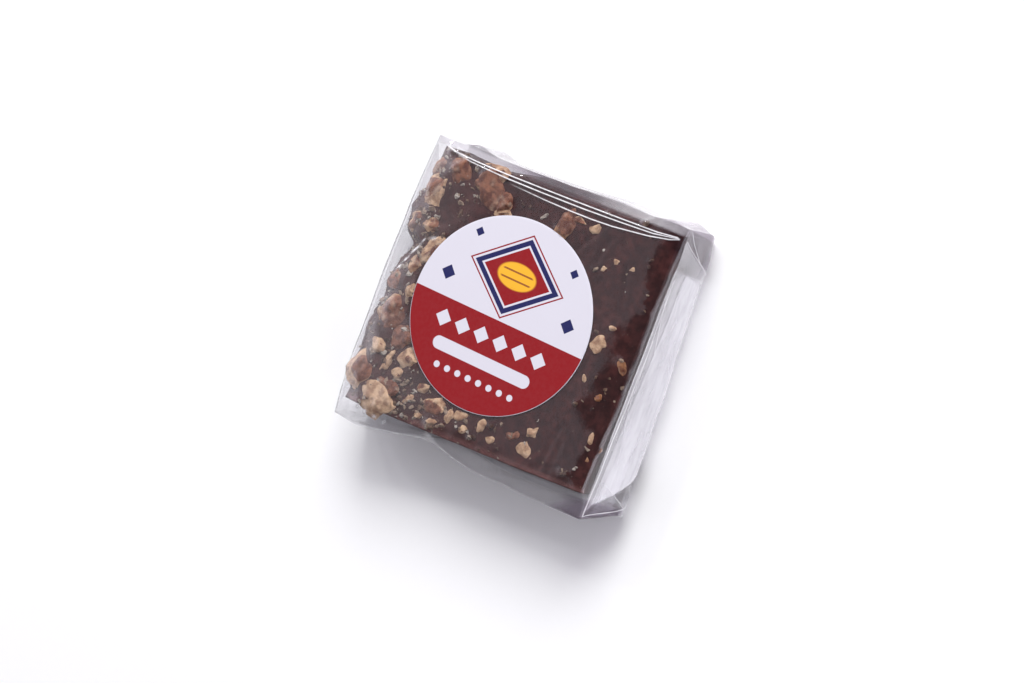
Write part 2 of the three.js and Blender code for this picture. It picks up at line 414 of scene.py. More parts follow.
# %% Write the shell maker
def border(columns, rows):
    """Grid places round the border, anticlockwise from the front left corner."""
    front = [(i, 0) for i in range(columns)]
    right = [(columns, j) for j in range(rows)]
    back = [(i, rows) for i in range(columns, 0, -1)]
    left = [(0, j) for j in range(rows, 0, -1)]
    return front + right + back + left


def shell(grid, rings):
    """Points and faces of a closed shell: grid is the top, rings go from the middle of the
    underside outwards and up to just below the grid's border."""
    rows, columns = grid.shape[0] - 1, grid.shape[1] - 1
    points = np.concatenate([grid.reshape(-1, 3)] + rings + [rings[0].mean(0)[None]])
    number = np.arange((rows + 1) * (columns + 1)).reshape(rows + 1, columns + 1)
    faces = [(number[j, i], number[j, i + 1], number[j + 1, i + 1], number[j + 1, i])
             for j in range(rows) for i in range(columns)]
    edge = [number[j, i] for i, j in border(columns, rows)]
    around = len(edge)
    start = number.size
    loops = [list(range(start + k * around, start + (k + 1) * around)) for k in range(len(rings))]
    loops.append(edge)
    for low, high in zip(loops, loops[1:]):
        for i in range(around):
            n = (i + 1) % around
            faces.append((low[i], low[n], high[n], high[i]))
    centre = len(points) - 1
    faces += [(centre, loops[0][(i + 1) % around], loops[0][i]) for i in range(around)]
    return points, faces


print("a grid of 3 by 2 cells has", len(border(3, 2)), "places round its border")

# %% [markdown]
# Points and faces become an object in one place, so that every piece is treated alike: millimetres
# turn into metres, the piece's origin stays at the frame's, and any number that the finish needs
# later, such as how much film haze a point has, is kept on the mesh as an attribute.

# %% Write the piece maker
def piece(name, points, faces, material, sharp=None, **attributes):
    """A finished mesh object at the origin, from points in mm, with a number for each point."""
    mesh = bpy.data.meshes.new(name)
    mesh.from_pydata((np.asarray(points) * MM).tolist(), [], [tuple(map(int, f)) for f in faces])
    for key, values in attributes.items():
        mesh.attributes.new(key, "FLOAT", "POINT").data.foreach_set("value", np.float32(values))
    mesh.materials.append(material)
    mesh.shade_smooth()
    if sharp is not None:
        mesh.set_sharp_from_angle(angle=math.radians(sharp))
    made = bpy.data.objects.new(name, mesh)
    bpy.context.scene.collection.objects.link(made)
    print(name, "has", sum(len(f) - 2 for f in faces), "triangles")
    return made


print("one millimetre is", MM, "m")

# %% [markdown]
# ## The film's walls
#
# The walls of the film come first, because nothing inside may stick out through them. The pack's
# four corners are where the film is pinched, and each stands a little outside the slab's own corner,
# by a different amount. Between two corners a wall bows, and at the front and the back it has a
# pinch, a bulge and a pleat where the film was gathered. Cloth simulation could fold a real sheet
# round the slab, but its folds would fall where they like and not where the real ones are.

# %% Place the corners and the bows
FILM_X = 35.5
FILM_Y = 34.5
BELLY_Z = 5.0
# Each corner: its place on the slab, how far the film's rim and belly stand outside it, the rim's
# height, and how much of the belly is left at the foot.
CORNERS = [
    ((-FILM_X, -FILM_Y), (-3.7, -4.3), (-2.8, -3.2), 15.8, 0.85),
    ((FILM_X, -FILM_Y), (-0.6, -5.5), (5.0, -1.8), 15.4, 0.35),
    ((FILM_X, FILM_Y), (0.8, 2.4), (1.9, 2.7), 17.2, 0.35),
    ((-FILM_X, FILM_Y), (-2.5, 2.3), (-2.4, 2.8), 16.8, 0.85),
]
SIDE_OUT = [(0, -1), (1, 0), (0, 1), (-1, 0)]


def hump(at, centre, width, out):
    """A rounded swelling of a wall."""
    return out * np.exp(-(((at - centre) / width) ** 2))


def bow(side, along, drop):
    """How far a wall stands out between its two corners; drop is 0 at the rim and 1 at the foot."""
    if side == 0:
        return hump(along, -29, 5, 0.9) - hump(along, -9.5, 9, 2.6)
    if side == 1:
        return arch(along / FILM_Y) * (-0.1 + 0.9 * drop) + hump(along, 28.6, 3.6, 1.2) * drop ** 0.7
    if side == 2:
        fuller = 0.20 + 0.80 * drop ** 0.6
        swell = hump(along, 30.8, 3.2, 2.1) * fuller + hump(along, 15.0, 10.0, 1.8) * fuller
        return hump(along, -24, 3.2, 1.3) + arch(along / FILM_X) * (-0.3 - 0.1 * drop) + swell
    return arch(along / FILM_Y) * 0.9 + hump(along, -25, 8, 0.6)


def lift(side, along):
    """How far the nuts raise the rim: all along the left, and near one end of the back."""
    if side == 3:
        return 1.2 * arch(along / FILM_Y)
    return hump(along, -17, 9, 0.8) if side == 2 else 0.0


print("halfway along, the left wall stands out", round(float(bow(3, 0.0, 0.5)), 2), "mm")

# %% [markdown]
# A wall is then one formula: a straight line between two corners, moved out by the corners' own
# amounts, by the bow and by a faint crinkle. It can be asked for any place and any height, so the
# contents, the bag and the folded panels all agree on where the film is.

# %% Shape the walls
CRINKLE = 0.22
CRINKLE_SIZE = 6.5


def wall(side, t, share):
    """Points of one wall of the film; t runs along it and share runs from the floor to the rim."""
    t = np.asarray(t, float)
    start, end = CORNERS[side], CORNERS[(side + 1) % 4]
    slab_place = np.outer(1 - t, start[0]) + np.outer(t, end[0])
    along = slab_place[:, side % 2]
    z = share * (start[3] + (end[3] - start[3]) * t + lift(side, along))
    place = slab_place.copy()
    for corner, weight in ((start, 1 - t), (end, t)):
        rise = smooth(z, BELLY_Z, corner[3])[:, None]
        rounding = np.sin(np.minimum(z / BELLY_Z, 1) * math.pi / 2)[:, None]
        foot = corner[4] + (1 - corner[4]) * rounding
        above = np.array(corner[2]) * (1 - rise) + np.array(corner[1]) * rise
        below = np.array(corner[2]) * foot
        place += weight[:, None] * np.where(z[:, None] >= BELLY_Z, above, below)
    foot_here = start[4] + (end[4] - start[4]) * t
    out = bow(side, along, 1 - share) * (foot_here + (1 - foot_here) * smooth(z, 0, BELLY_Z))
    crinkle = CRINKLE * cloud(flat(along + 50 * side, 1.7 * z), CRINKLE_SIZE, 51, 3) * smooth(z, 0, 2)
    out += crinkle * np.minimum(1, 3 * arch(2 * t - 1))
    place += out[:, None] * np.array(SIDE_OUT[side], float)
    return np.column_stack([place, z])


print("the rim's front right corner is at", wall(0, [1.0], 1.0)[0].round(1))

# %% [markdown]
# Food in tight film is pressed flat where it touches. So each point of the contents is compared with
# the wall beside it, and one that is too far out is moved in to just inside the film.

# %% Hold the contents in
HELD_MARGIN = 0.18


def held_in(points, margin=HELD_MARGIN):
    """Points in mm, moved in so that they stay a margin inside the four walls."""
    points = np.array(points, float)
    near = (np.abs(points[:, 0]) > FILM_X - 4) | (np.abs(points[:, 1]) > FILM_Y - 4)
    held = points[near]
    for side in range(4):
        start, end = CORNERS[side], CORNERS[(side + 1) % 4]
        along_axis, out_axis = side % 2, 1 - side % 2
        first, last = (corner[0][along_axis] + corner[2][along_axis] for corner in (start, end))
        t = np.clip((held[:, along_axis] - first) / (last - first), 0, 1)
        along = start[0][along_axis] + t * (end[0][along_axis] - start[0][along_axis])
        rim = start[3] + (end[3] - start[3]) * t + lift(side, along)
        limit = wall(side, t, np.clip(held[:, 2] / rim, 0, 1))[:, out_axis]
        way = SIDE_OUT[side][out_axis]
        held[:, out_axis] = way * np.minimum(way * held[:, out_axis], way * limit - margin)
    points[near] = held
    return points


print("a point far out is held at", held_in([[60.0, 0.0, 8.0]])[0].round(1))

# %% [markdown]
# ## The fudge
#
# Fudge is poured, set and cut. Three sides of this slab are knife cuts, with a crumbly edge where
# the blade came through. The left side is the rough end of the tray, with crags and lumps. The top
# is smooth and gently waved on the right and lumpier to the left, and it falls away along the right
# edge. A sculpted mesh could hold that too, but then no later step could ask it for a height. Short
# rows of distances along each side, read off the real slab, give its outline.

# %% Write the slab's outline
FUDGE_TOP = TOP - 0.30
FUDGE_FOOT = 0.25
SIDE_INSET = 0.25
BACK_ALONG = [-36.0, -24.0, -5.0, 18.0, 24.0, 27.5, 31.0, 35.0]
BACK_REACH = [34.9, 34.1, 33.95, 34.0, 34.3, 35.2, 35.0, 34.5]
# The cut right side: distances along it, how far out it reaches, and where the top starts to fall.
RIGHT_ALONG = [-34.5, -26.0, -21.0, -13.0, -9.0, -1.0, 3.5, 8.0, 13.0, 22.0, 34.5]
RIGHT_REACH = [34.1, 34.2, 34.3, 34.4, 34.5, 34.5, 34.5, 34.6, 34.8, 35.0, 35.2]
FALL_START = [31.6, 29.6, 28.4, 26.2, 25.8, 27.2, 27.2, 29.0, 30.2, 30.6, 31.4]
# The rough left side: distances along it, and how far out it reaches there.
LEFT_ALONG = [-34.5, -31.2, -29.0, -25.4, -20.5, -13.9, -7.3, -2.3,
              3.1, 8.6, 11.4, 17.7, 22.4, 29.7, 34.5]
LEFT_REACH = [-38.2, -37.2, -38.9, -39.3, -39.0, -39.0, -37.0, -37.9,
              -36.6, -34.6, -37.6, -38.8, -37.2, -35.8, -35.9]


def left_side(y):
    """How far left the slab reaches at a distance along its rough side."""
    bumps = cloud(flat(y, 0 * y), 2.4, 31).reshape(np.shape(y))
    return np.interp(y, LEFT_ALONG, LEFT_REACH) + 0.35 * bumps


print("the rough side reaches", np.round(left_side(np.array([-25.0, 8.6])), 1), "mm")

# %% [markdown]
# One height formula holds the whole top: slow waves from the pouring, rough lumps to the left, crags
# at the rough side, the fall along the right edge, the knife's crumbled lip in front, and a few long
# dents. The same formula sets the pecans at the right height later.

# %% Write the slab's top
CRAG_FALL = 2.6
CRAG_WIDTH = 4.6
RIM_SLOPE = 0.17
DENT_WIDTH = 0.7
# Dents in the poured top, as two ends of a line and a depth.
DENTS = [
    (22.5, -21.0, 21.0, -31.0, 0.35),
    (24.5, -24.0, 23.6, -33.0, 0.30),
    (19.0, -32.5, 25.5, -30.0, 0.25),
    (9.0, 21.0, 15.5, 31.0, 0.30),
    (16.5, 21.5, 17.5, 27.0, 0.22),
    (27.0, 14.0, 24.5, 23.0, 0.18),
]


def fudge_height(x, y):
    """Height of the slab's top at each place."""
    shape = np.shape(x)
    points = flat(x, y)
    x, y = points[:, 0], points[:, 1]
    rough = 1 - smooth(x + 0.35 * y, -24, 6)
    inland = x - left_side(y)
    height = FUDGE_TOP + 0.14 * cloud(points, 17, 3, 2)
    height += (0.03 - 0.022 * smooth(x, 14, 22)) * cloud(points, 3.0, 5)
    height += rough * (0.50 * cloud(points, 5.0, 7, 2) + 0.20 * cloud(points, 1.6, 9, 3) - 0.15)
    crag = 1 - smooth(inland, 0.0, CRAG_WIDTH)
    height -= CRAG_FALL * crag * (0.65 + 0.55 * cloud(points, 4.2, 11, 2))
    start = np.interp(y, RIGHT_ALONG, FALL_START) + 0.35 * cloud(flat(0 * y, y), 7, 13, 2)
    height -= RIM_SLOPE * (HALF_X + 1.5 - start) * smooth(x, start, HALF_X + 1.5)
    blade = cloud(points, 2.2, 15, 3)
    height -= 0.55 * smooth(-y, HALF_Y - 2.0, HALF_Y) * (0.8 + 0.9 * blade)
    for x0, y0, x1, y1, deep in DENTS:
        gap = away_from_line(x, y, [(x0, y0), (x1, y1)], [1, 1])[0]
        height -= deep * np.exp(-((gap / DENT_WIDTH) ** 2))
    return height.reshape(shape)


print("the top lies at", fudge_height(np.array([0.0, 30.0]), np.array([0.0, 0.0])).round(2), "mm")

# %% [markdown]
# The top is a grid that follows the outline: its columns start at the rough left side and end at the
# cut right one. A grid this fine, under half a millimetre to a cell, holds the crumbly lip as shape.

# %% Lay the slab's top
SLAB_COLUMNS = 170
SLAB_ROWS = 160

front_edge = SIDE_INSET - HALF_Y
across, along = np.meshgrid(np.linspace(0, 1, SLAB_COLUMNS + 1), np.linspace(0, 1, SLAB_ROWS + 1))
back_edge = np.interp(HALF_X * (2 * across - 1), BACK_ALONG, BACK_REACH)
grid_y = front_edge + along * (back_edge - front_edge) + 0.6 * across ** 3 * (1 - along) ** 8
grid_left = left_side(grid_y)
grid_x = grid_left + across * (np.interp(grid_y, RIGHT_ALONG, RIGHT_REACH) - grid_left)
slab_grid = np.stack([grid_x, grid_y, fudge_height(grid_x, grid_y)], axis=2)
slab_grid = held_in(slab_grid.reshape(-1, 3)).reshape(slab_grid.shape)

print("the top has", SLAB_COLUMNS * SLAB_ROWS, "cells")

# %% [markdown]
# The sides drop almost straight down. Each ring is the border of the top pulled a little in or out
# by an unevenness that grows on the rough side. The back swells out below its edge, as soft fudge
# does, and the lowest ring is tucked under so that the slab rests on a rounded foot.

# %% Drop the slab's sides
SLAB_LEVELS = 22
CUT_WOBBLE = 0.12
ROUGH_WOBBLE = 0.55
TUCK = 0.5
BACK_SWELL = 2.9
BACK_LIMIT = [36.9, 36.9, 35.7]
CORNER_SWELL = 0.9

slab_edge = np.array([slab_grid[j, i] for i, j in border(SLAB_COLUMNS, SLAB_ROWS)])
outwards = slab_edge[:, :2] / np.array([HALF_X, HALF_Y])
outwards = np.where(np.abs(outwards) > 0.93, np.sign(outwards), 0.0)
outwards /= np.maximum(np.linalg.norm(outwards, axis=1), 1)[:, None]
roughness_out = CUT_WOBBLE + ROUGH_WOBBLE * (outwards[:, 0] < -0.5)
slab_rings = [held_in(slab_edge * [share, share, 0] + [0, 0, FUDGE_FOOT]) for share in (0.4, 0.93)]
for level in np.linspace(0, 1, SLAB_LEVELS, endpoint=False):
    ring = slab_edge.copy()
    ring[:, 2] = FUDGE_FOOT + level * (slab_edge[:, 2] - FUDGE_FOOT)
    foot = TUCK * (1 - smooth(ring[:, 2], FUDGE_FOOT, 1.6))
    wobble = roughness_out * (cloud(ring, 4.5, 21, 4) + 0.5 * cloud(ring, 1.1, 23, 2))
    wobble = wobble * smooth(1 - level, 0, 0.1)
    ring[:, :2] += outwards * (wobble - foot)[:, None]
    swell = np.sin(math.pi * np.clip(1 - level, 0, 0.75) / 1.5) * smooth(ring[:, 0], -24, -4)
    limit = np.interp(ring[:, 0], [-36.0, 29.0, 35.0], BACK_LIMIT)
    ring[:, 1] += np.minimum(BACK_SWELL * swell, limit - ring[:, 1]) * (outwards[:, 1] > 0.5)
    ring[:, 0] += CORNER_SWELL * swell * smooth(ring[:, 1], 18, 30) * (outwards[:, 0] > 0.5)
    slab_rings.append(held_in(ring))
slab_points, slab_faces = shell(slab_grid, slab_rings)
print("slab", len(slab_points), "points")

# %% [markdown]
# Two numbers for each point tell the later steps what the shape alone can't: how many crumbs lie
# there, most of them in patches to the left and along the front lip, and where the knife's edge
# crumbled.

# %% Mark the crumbs and the cut edge
bed = smooth(slab_points[:, 2], TOP - 3.2, TOP - 2.0)
left_share = 1 - smooth(slab_points[:, 0] + 0.42 * slab_points[:, 1], -30, 10)
patches = smooth(cloud(slab_points, 4.5, 41, 2), -0.25, 0.35)
under_edge = ((slab_points[:, 0] + 12) / 10) ** 2 + ((slab_points[:, 1] + 29) / 4) ** 2
patches = np.maximum(patches, np.exp(-under_edge))
from_label = np.hypot(slab_points[:, 0] - LABEL_X, slab_points[:, 1] - LABEL_Y) - LABEL_R
front_lip = smooth(-slab_points[:, 1], HALF_Y - 2.6, HALF_Y - 1.3)
front_lip *= smooth(8 - slab_points[:, 0], 0, 20)
front_lip *= 1 - smooth(-slab_points[:, 1], HALF_Y - 0.9, HALF_Y - 0.5)
patchy = np.maximum(left_share * (0.25 + 0.75 * patches), 0.8 * front_lip)
crumb_share = bed * (0.035 + patchy) * smooth(from_label, 0.4, 1.4)
crumb_share *= 1 - smooth(-slab_points[:, 1], HALF_Y - 0.8, HALF_Y - 0.45)
cut_edge = smooth(-slab_points[:, 1], HALF_Y - 2.4, HALF_Y - 0.9) * bed
print("crumbs lie on", round(float((crumb_share > 0.1).mean()), 2), "of the slab's points")

# %% [markdown]
# Dark chocolate fudge is deep red-brown, and almost the same all over. What makes it look like food
# is that it is waxy: a broad soft shine, a faint mottling where sugar has set, and a redder, drier
# look where the knife has crumbled the edge.

# %% Mix the fudge's finish
fudge = Finish("chocolate fudge")
at = fudge.millimetres()
mottle = fudge.noise(at, 0.55, 4.0)
fine = fudge.noise(at, 4.5, 3.0)
body = fudge.mix(fudge.ramp(mottle, 0.35, 0.68),
                 colour(0.035, 0.0064, 0.0060), colour(0.074, 0.0180, 0.0160))
smear = fudge.noise(fudge.vector("MULTIPLY", at, (1.0, 0.45, 1.0)), 0.16, 3.0)
body = fudge.mix(fudge.ramp(smear, 0.38, 0.62, 0.45, 0.0), body, colour(0.012, 0.0030, 0.0035))
dry = fudge.ramp(fudge.attribute("crumb_share"), 0.05, 0.60, 0.0, 0.40)
body = fudge.mix(dry, body, colour(0.105, 0.044, 0.040))
sugar = fudge.ramp(fine, 0.66, 0.80, 0.0, 0.35)
body = fudge.mix(sugar, body, colour(0.11, 0.065, 0.055))
crumbled = fudge.math("MULTIPLY", fudge.attribute("cut_edge"), fudge.ramp(fine, 0.32, 0.60))
body = fudge.mix(crumbled, body, colour(0.27, 0.125, 0.115))
print("dark red-brown, paler where it is dry or cut")

# %% [markdown]
# The same two noises tilt the surface and vary its shine, so that the mottling is felt in the light
# and not only seen in the colour. Then the slab becomes an object.

# %% Make the slab
relief = fudge.math("ADD", fudge.math("MULTIPLY", mottle, 0.6), fudge.math("MULTIPLY", fine, 0.25))
tilt = fudge.add("Bump", 0.35, 0.4 * MM, Height=relief)
waxy = fudge.ramp(fine, 0.2, 0.8, 0.36, 0.55)
shine = fudge.add("BsdfPrincipled", Base_Color=body, Roughness=waxy, Normal=tilt,
                  Specular_IOR_Level=0.28)
slab = piece("fudge_slab", slab_points, slab_faces, fudge.finish(shine),
             crumb_share=crumb_share, cut_edge=cut_edge)

# %% [markdown]
# ## The pecans
#
# Chopped pecans have two kinds of surface: pale tan where the knife broke them, with flat faces and
# sharp corners, and a grooved red-brown skin on what was the outside. Each piece starts as a fine,
# even ball, because a ball has no edges or poles that would show through the cuts.

# %% Write the ball and its turning
def ball(fineness):
    """Points and faces of an even ball of radius 1."""
    mesh = bmesh.new()
    bmesh.ops.create_icosphere(mesh, subdivisions=fineness, radius=1.0)
    points = np.array([v.co for v in mesh.verts])
    faces = [[v.index for v in f.verts] for f in mesh.faces]
    mesh.free()
    return points, faces


def turned(points, yaw, tilt, lean):
    """Points turned about x by lean, y by tilt and then z by yaw, in degrees."""
    turn = (Matrix.Rotation(math.radians(yaw), 3, "Z") @ Matrix.Rotation(math.radians(tilt), 3, "Y")
            @ Matrix.Rotation(math.radians(lean), 3, "X"))
    return points @ np.array(turn).T


print("a ball of fineness 4 has", len(ball(4)[1]), "faces")

# %% [markdown]
# Random flat cuts chop the ball: what lies beyond a cutting plane is pressed back onto it. Then the
# piece is stretched to its size, and an unevenness swells it, with crevices in the broken flesh and
# grooves in the skin. The shares of skin and of ridge are kept for the finish.

# %% Write one chopped pecan
def chopped_pecan(seed, long, wide, thick, skin, fineness):
    """Points, faces, skin share and ridge of one piece, centred at 0; skin says how much is on."""
    points, faces = ball(fineness)
    draw = np.random.default_rng(seed)
    points = points * (1 + 0.22 * cloud(1.4 * points + seed, 1.0, seed + 5, 2))[:, None]
    for _ in range(12 if skin < 0.5 and long < 7.5 else 6):
        way = draw.normal(size=3) * [1, 1, 0.8]
        way /= np.linalg.norm(way)
        over = np.maximum(0, points @ way - draw.uniform(0.58, 0.92))
        points = points - 0.97 * over[:, None] * way
    skin_way = np.array([draw.normal() * 0.35, draw.normal() * 0.5, 1.0])
    skin_way /= np.linalg.norm(skin_way)
    worn = 0.34 * cloud(points * 2 + seed, 1.0, seed + 1, 3)
    facing = points @ skin_way / np.linalg.norm(points, axis=1)
    on = smooth(facing + worn, 1.02 - 1.9 * skin, 1.12 - 1.9 * skin)
    grooves = np.abs(np.sin(3.6 * points[:, 1] + 0.8 * points[:, 0]))
    low, high = points.min(0), points.max(0)
    middle = np.array([(low[0] + high[0]) / 2, (low[1] + high[1]) / 2, 0])
    points = (points - middle) / [(high[0] - low[0]) / 2, (high[1] - low[1]) / 2, high[2]]
    points = points * [long / 2, wide / 2, 1]
    points[:, 2] *= np.where(points[:, 2] > 0, thick, 0.6 * thick)
    size = min(long, wide)
    ragged = 1 - 0.75 * on
    ridge = cloud(points + seed, 0.35 * size ** 0.7 + 0.5, seed + 3, 3)
    swell = 0.09 * size * cloud(points + seed, 0.40 * size, seed + 2, 2)
    crevices = np.abs(cloud(points, 2.1, seed + 4, 2))
    swell += (0.25 + 0.75 * ragged) * (0.10 * size ** 0.7 * ridge - 0.15 * crevices)
    swell -= 0.035 * size * on * (1 - grooves) ** 2
    length = np.maximum(np.linalg.norm(points, axis=1), 1e-6)
    return points * (1 + swell / length)[:, None], faces, on, ridge


print("one pecan has", len(chopped_pecan(1, 5.0, 4.0, 1.5, 0.5, 3)[0]), "points")

# %% [markdown]
# The places and sizes follow the real slab, with the largest pieces along the rough side. Scattering
# would be shorter, but then no nut would lie where the real one does.

# %% List the pecans
# Place, long and wide, turn, skin share, tint from pale tan 0 to amber 1, and stand above the slab.
PECANS = [
    (-28.6, 30.4, 8.6, 6.4, -50, 0.72, 0.85, 1.0),
    (-17.9, 27.7, 12.2, 8.4, -52, 0.90, 0.75, 1.2),
    (-13.7, 26.3, 6.6, 5.2, 70, 0.55, 0.45, 1.1),
    (-21.0, 29.2, 5.4, 4.2, 30, 0.20, 0.20, 1.1),
    (-19.8, 32.8, 11.0, 4.8, 8, 0.05, 0.12, 0.9),
    (-12.6, 23.4, 7.4, 5.6, 30, 0.05, 0.12, 0.8),
    (-32.9, 23.4, 11.4, 7.4, 72, 0.20, 0.04, 1.1),
    (-34.2, 29.0, 6.0, 4.6, 70, 0.35, 0.00, 0.6),
    (-30.6, 14.9, 5.8, 4.8, 20, 0.25, 0.25, 1.0),
    (-35.2, 14.6, 6.4, 5.0, 50, 0.35, 0.05, 0.5),
    (-27.6, 9.2, 10.8, 5.4, 66, 0.10, 0.10, 0.8),
    (-31.4, 3.9, 5.4, 4.4, 80, 0.12, 0.50, 0.8),
    (-29.4, -2.8, 5.4, 4.4, 20, 0.00, 0.00, 0.7),
    (-34.8, -1.2, 6.6, 5.0, 60, 0.85, 0.60, 0.5),
    (-32.0, -9.8, 12.6, 8.8, 66, 0.58, 0.55, 1.2),
    (-27.6, -13.4, 10.4, 7.2, 80, 0.55, 0.50, 1.1),
    (-35.6, -10.2, 4.6, 3.6, 15, 0.30, 0.10, 0.5),
    (-23.6, -18.9, 6.8, 5.4, 30, 0.05, 0.08, 1.0),
    (-33.2, -18.0, 5.8, 4.4, -60, 0.00, 0.02, 1.0),
    (-29.4, -21.4, 7.4, 4.2, 70, 0.00, 0.02, 0.9),
    (-25.2, -23.2, 3.8, 3.0, 15, 0.00, 0.05, 0.6),
    (-35.4, -25.4, 10.8, 8.4, 60, 0.22, 0.06, 1.0),
    (-26.8, -27.4, 8.6, 4.6, -8, 0.97, 0.55, 0.8),
    (-30.0, -31.6, 14.2, 9.8, -6, 0.00, 0.02, 1.3),
    (-13.0, -27.0, 8.0, 6.6, -10, 0.20, 0.10, 1.0),
    (-15.6, -31.2, 3.4, 1.9, 24, 0.00, 0.00, 0.6),
    (-11.2, -31.4, 4.2, 2.0, 24, 0.00, 0.00, 0.6),
    (-7.4, -28.8, 4.8, 3.0, 75, 0.00, 0.00, 0.5),
    (-4.2, -26.0, 6.2, 4.4, 50, 0.20, 0.10, 0.6),
    (-2.4, -30.2, 3.0, 2.2, 10, 0.00, 0.00, 0.4),
    (2.2, -27.4, 4.2, 2.6, 75, 0.00, 0.00, 0.5),
    (5.8, -30.2, 3.2, 2.4, 30, 0.00, 0.00, 0.3),
    (10.6, -26.2, 5.2, 4.2, 10, 0.85, 0.00, 0.3),
    (16.0, -28.8, 5.6, 5.2, 60, 0.00, 0.03, 0.4),
    (16.2, -24.4, 4.0, 3.2, 30, 0.00, 0.00, 0.5),
    (25.0, 4.0, 8.8, 6.0, 74, 0.04, 0.08, 0.4),
    (26.6, 7.3, 2.6, 2.0, 20, 0.00, 0.00, 0.4),
    (31.4, -1.6, 4.8, 4.4, 30, 0.10, 0.85, 0.2),
    (29.0, -10.2, 3.0, 2.4, 10, 0.10, 0.95, 0.2),
    (31.2, -20.8, 4.8, 1.8, 80, 0.00, 0.10, 0.3),
    (32.4, -25.8, 2.2, 1.2, 85, 0.00, 0.70, 0.2),
    (34.4, -22.2, 1.5, 1.1, 70, 0.30, 1.00, -0.4),
    (4.9, 27.2, 12.4, 5.0, 77, 0.45, 0.60, 0.8),
    (8.2, 29.4, 4.0, 2.8, 0, 0.30, 0.10, 0.5),
    (12.7, 28.6, 3.8, 3.2, 40, 0.00, 0.05, 0.4),
    (21.2, 23.1, 2.2, 2.2, 45, 0.00, 0.00, 0.3),
    (18.8, 20.4, 2.2, 1.7, 30, 0.00, 0.00, 0.2),
    (26.0, 22.8, 2.1, 1.6, 10, 0.00, 0.00, 0.3),
    (24.2, -6.8, 2.8, 1.8, -60, 0.00, 0.00, 0.3),
    (-17.6, -24.6, 5.4, 4.0, 35, 0.05, 0.05, 0.7),
    (-19.8, -28.4, 3.6, 2.2, 60, 0.00, 0.00, 0.5),
    (-25.2, -31.0, 7.4, 6.4, 10, 0.05, 0.03, 1.15),
]
print(len(PECANS), "pecan pieces")

# %% [markdown]
# Each piece is turned a little at random, sunk until it stands above the fudge by its own amount,
# and pressed down where the label lies on it.

# %% Set the pecans into the fudge
BIG_PECAN = 6.0
SUNK = 0.35
LABEL_PRESS = 0.15
PECAN_MARGIN = 0.10

pecan_points, pecan_faces, pecan_skin, pecan_tint, pecan_ridge = [], [], [], [], []
pecan_count = 0
for index, (x, y, long, wide, yaw, skin, tint, proud) in enumerate(PECANS):
    fineness = 4 if long >= BIG_PECAN else 3
    thick = proud + SUNK
    points, faces, on, ridge = chopped_pecan(100 + index, long, wide, thick, skin, fineness)
    draw = np.random.default_rng(500 + index)
    points = turned(points, yaw, draw.uniform(-9, 9), draw.uniform(-12, 12))
    level = float(fudge_height(np.array([x]), np.array([y]))[0])
    points += [x, y, level + proud - points[:, 2].max()]
    faces = np.array(faces) + pecan_count
    pecan_count += len(points)
    pecan_points.append(points)
    pecan_faces.append(faces)
    pecan_skin.append(on)
    pecan_ridge.append(ridge)
    pecan_tint.append(np.full(len(points), tint))
pecan_points = np.concatenate(pecan_points)
under_label = np.hypot(pecan_points[:, 0] - LABEL_X, pecan_points[:, 1] - LABEL_Y) < LABEL_R + 0.5
pecan_points[under_label, 2] = np.minimum(pecan_points[under_label, 2], TOP - LABEL_PRESS)
pecan_points = held_in(pecan_points, PECAN_MARGIN)
print("the highest nut reaches", pecan_points[:, 2].max().round(2), "mm")

# %% [markdown]
# The broken face of a nut is dry and slightly grainy, and more tan than brown. The skin is
# darker in its grooves and a little glossy. A piece that soaked up syrup turns amber, so each piece
# carries a tint of its own.

# %% Mix the pecans' finish
pecan = Finish("chopped pecan")
at = pecan.millimetres()
blotch = pecan.noise(at, 0.6, 3.0)
grit = pecan.noise(at, 3.2, 4.0)
tint = pecan.attribute("tint")
flesh = pecan.mix(pecan.ramp(blotch, 0.35, 0.65),
                  colour(0.36, 0.200, 0.115), colour(0.68, 0.460, 0.290))
amber = pecan.mix(pecan.ramp(blotch, 0.35, 0.65),
                  colour(0.15, 0.045, 0.016), colour(0.34, 0.125, 0.040))
flesh = pecan.mix(tint, flesh, amber)
skin_brown = pecan.mix(pecan.ramp(blotch, 0.38, 0.62),
                       colour(0.115, 0.030, 0.014), colour(0.27, 0.105, 0.055))
frayed = pecan.ramp(grit, 0.3, 0.7, -0.3, 0.3)
peeled = pecan.ramp(pecan.math("ADD", pecan.attribute("skin"), frayed), 0.35, 0.65)
nut = pecan.mix(peeled, flesh, skin_brown)
print("tan flesh, brown skin, and amber where syrup soaked in")

# %% [markdown]
# Grit darkens the nut a little. The ridge share paints shade into the crevices and a painted highlight on
# the crests, which is what makes a small broken face look deep. Then all the pieces become one object.

# %% Make the pecans
nut = pecan.mix(pecan.ramp(grit, 0.60, 0.78, 0.0, 0.16), nut, colour(0.09, 0.042, 0.026))
ridge = pecan.attribute("ridge")
# painted shade in the crevices
nut = pecan.mix(pecan.ramp(ridge, -0.60, -0.15, 0.62, 0.0), nut, colour(0.095, 0.042, 0.027))
# painted highlight on the crests
nut = pecan.mix(pecan.ramp(ridge, 0.10, 0.60, 0.0, 0.35), nut, colour(0.74, 0.58, 0.42))
tilt = pecan.add("Bump", 0.45, 0.4 * MM, Height=pecan.math("ADD", grit, blotch))
gloss = pecan.ramp(peeled, 0, 1, 0.62, 0.42)
surface = pecan.add("BsdfPrincipled", Base_Color=nut, Roughness=gloss, Normal=tilt)
pecans = piece("pecan_pieces", pecan_points, np.concatenate(pecan_faces), pecan.finish(surface),
               sharp=38, skin=np.concatenate(pecan_skin), tint=np.concatenate(pecan_tint),
               ridge=np.concatenate(pecan_ridge))

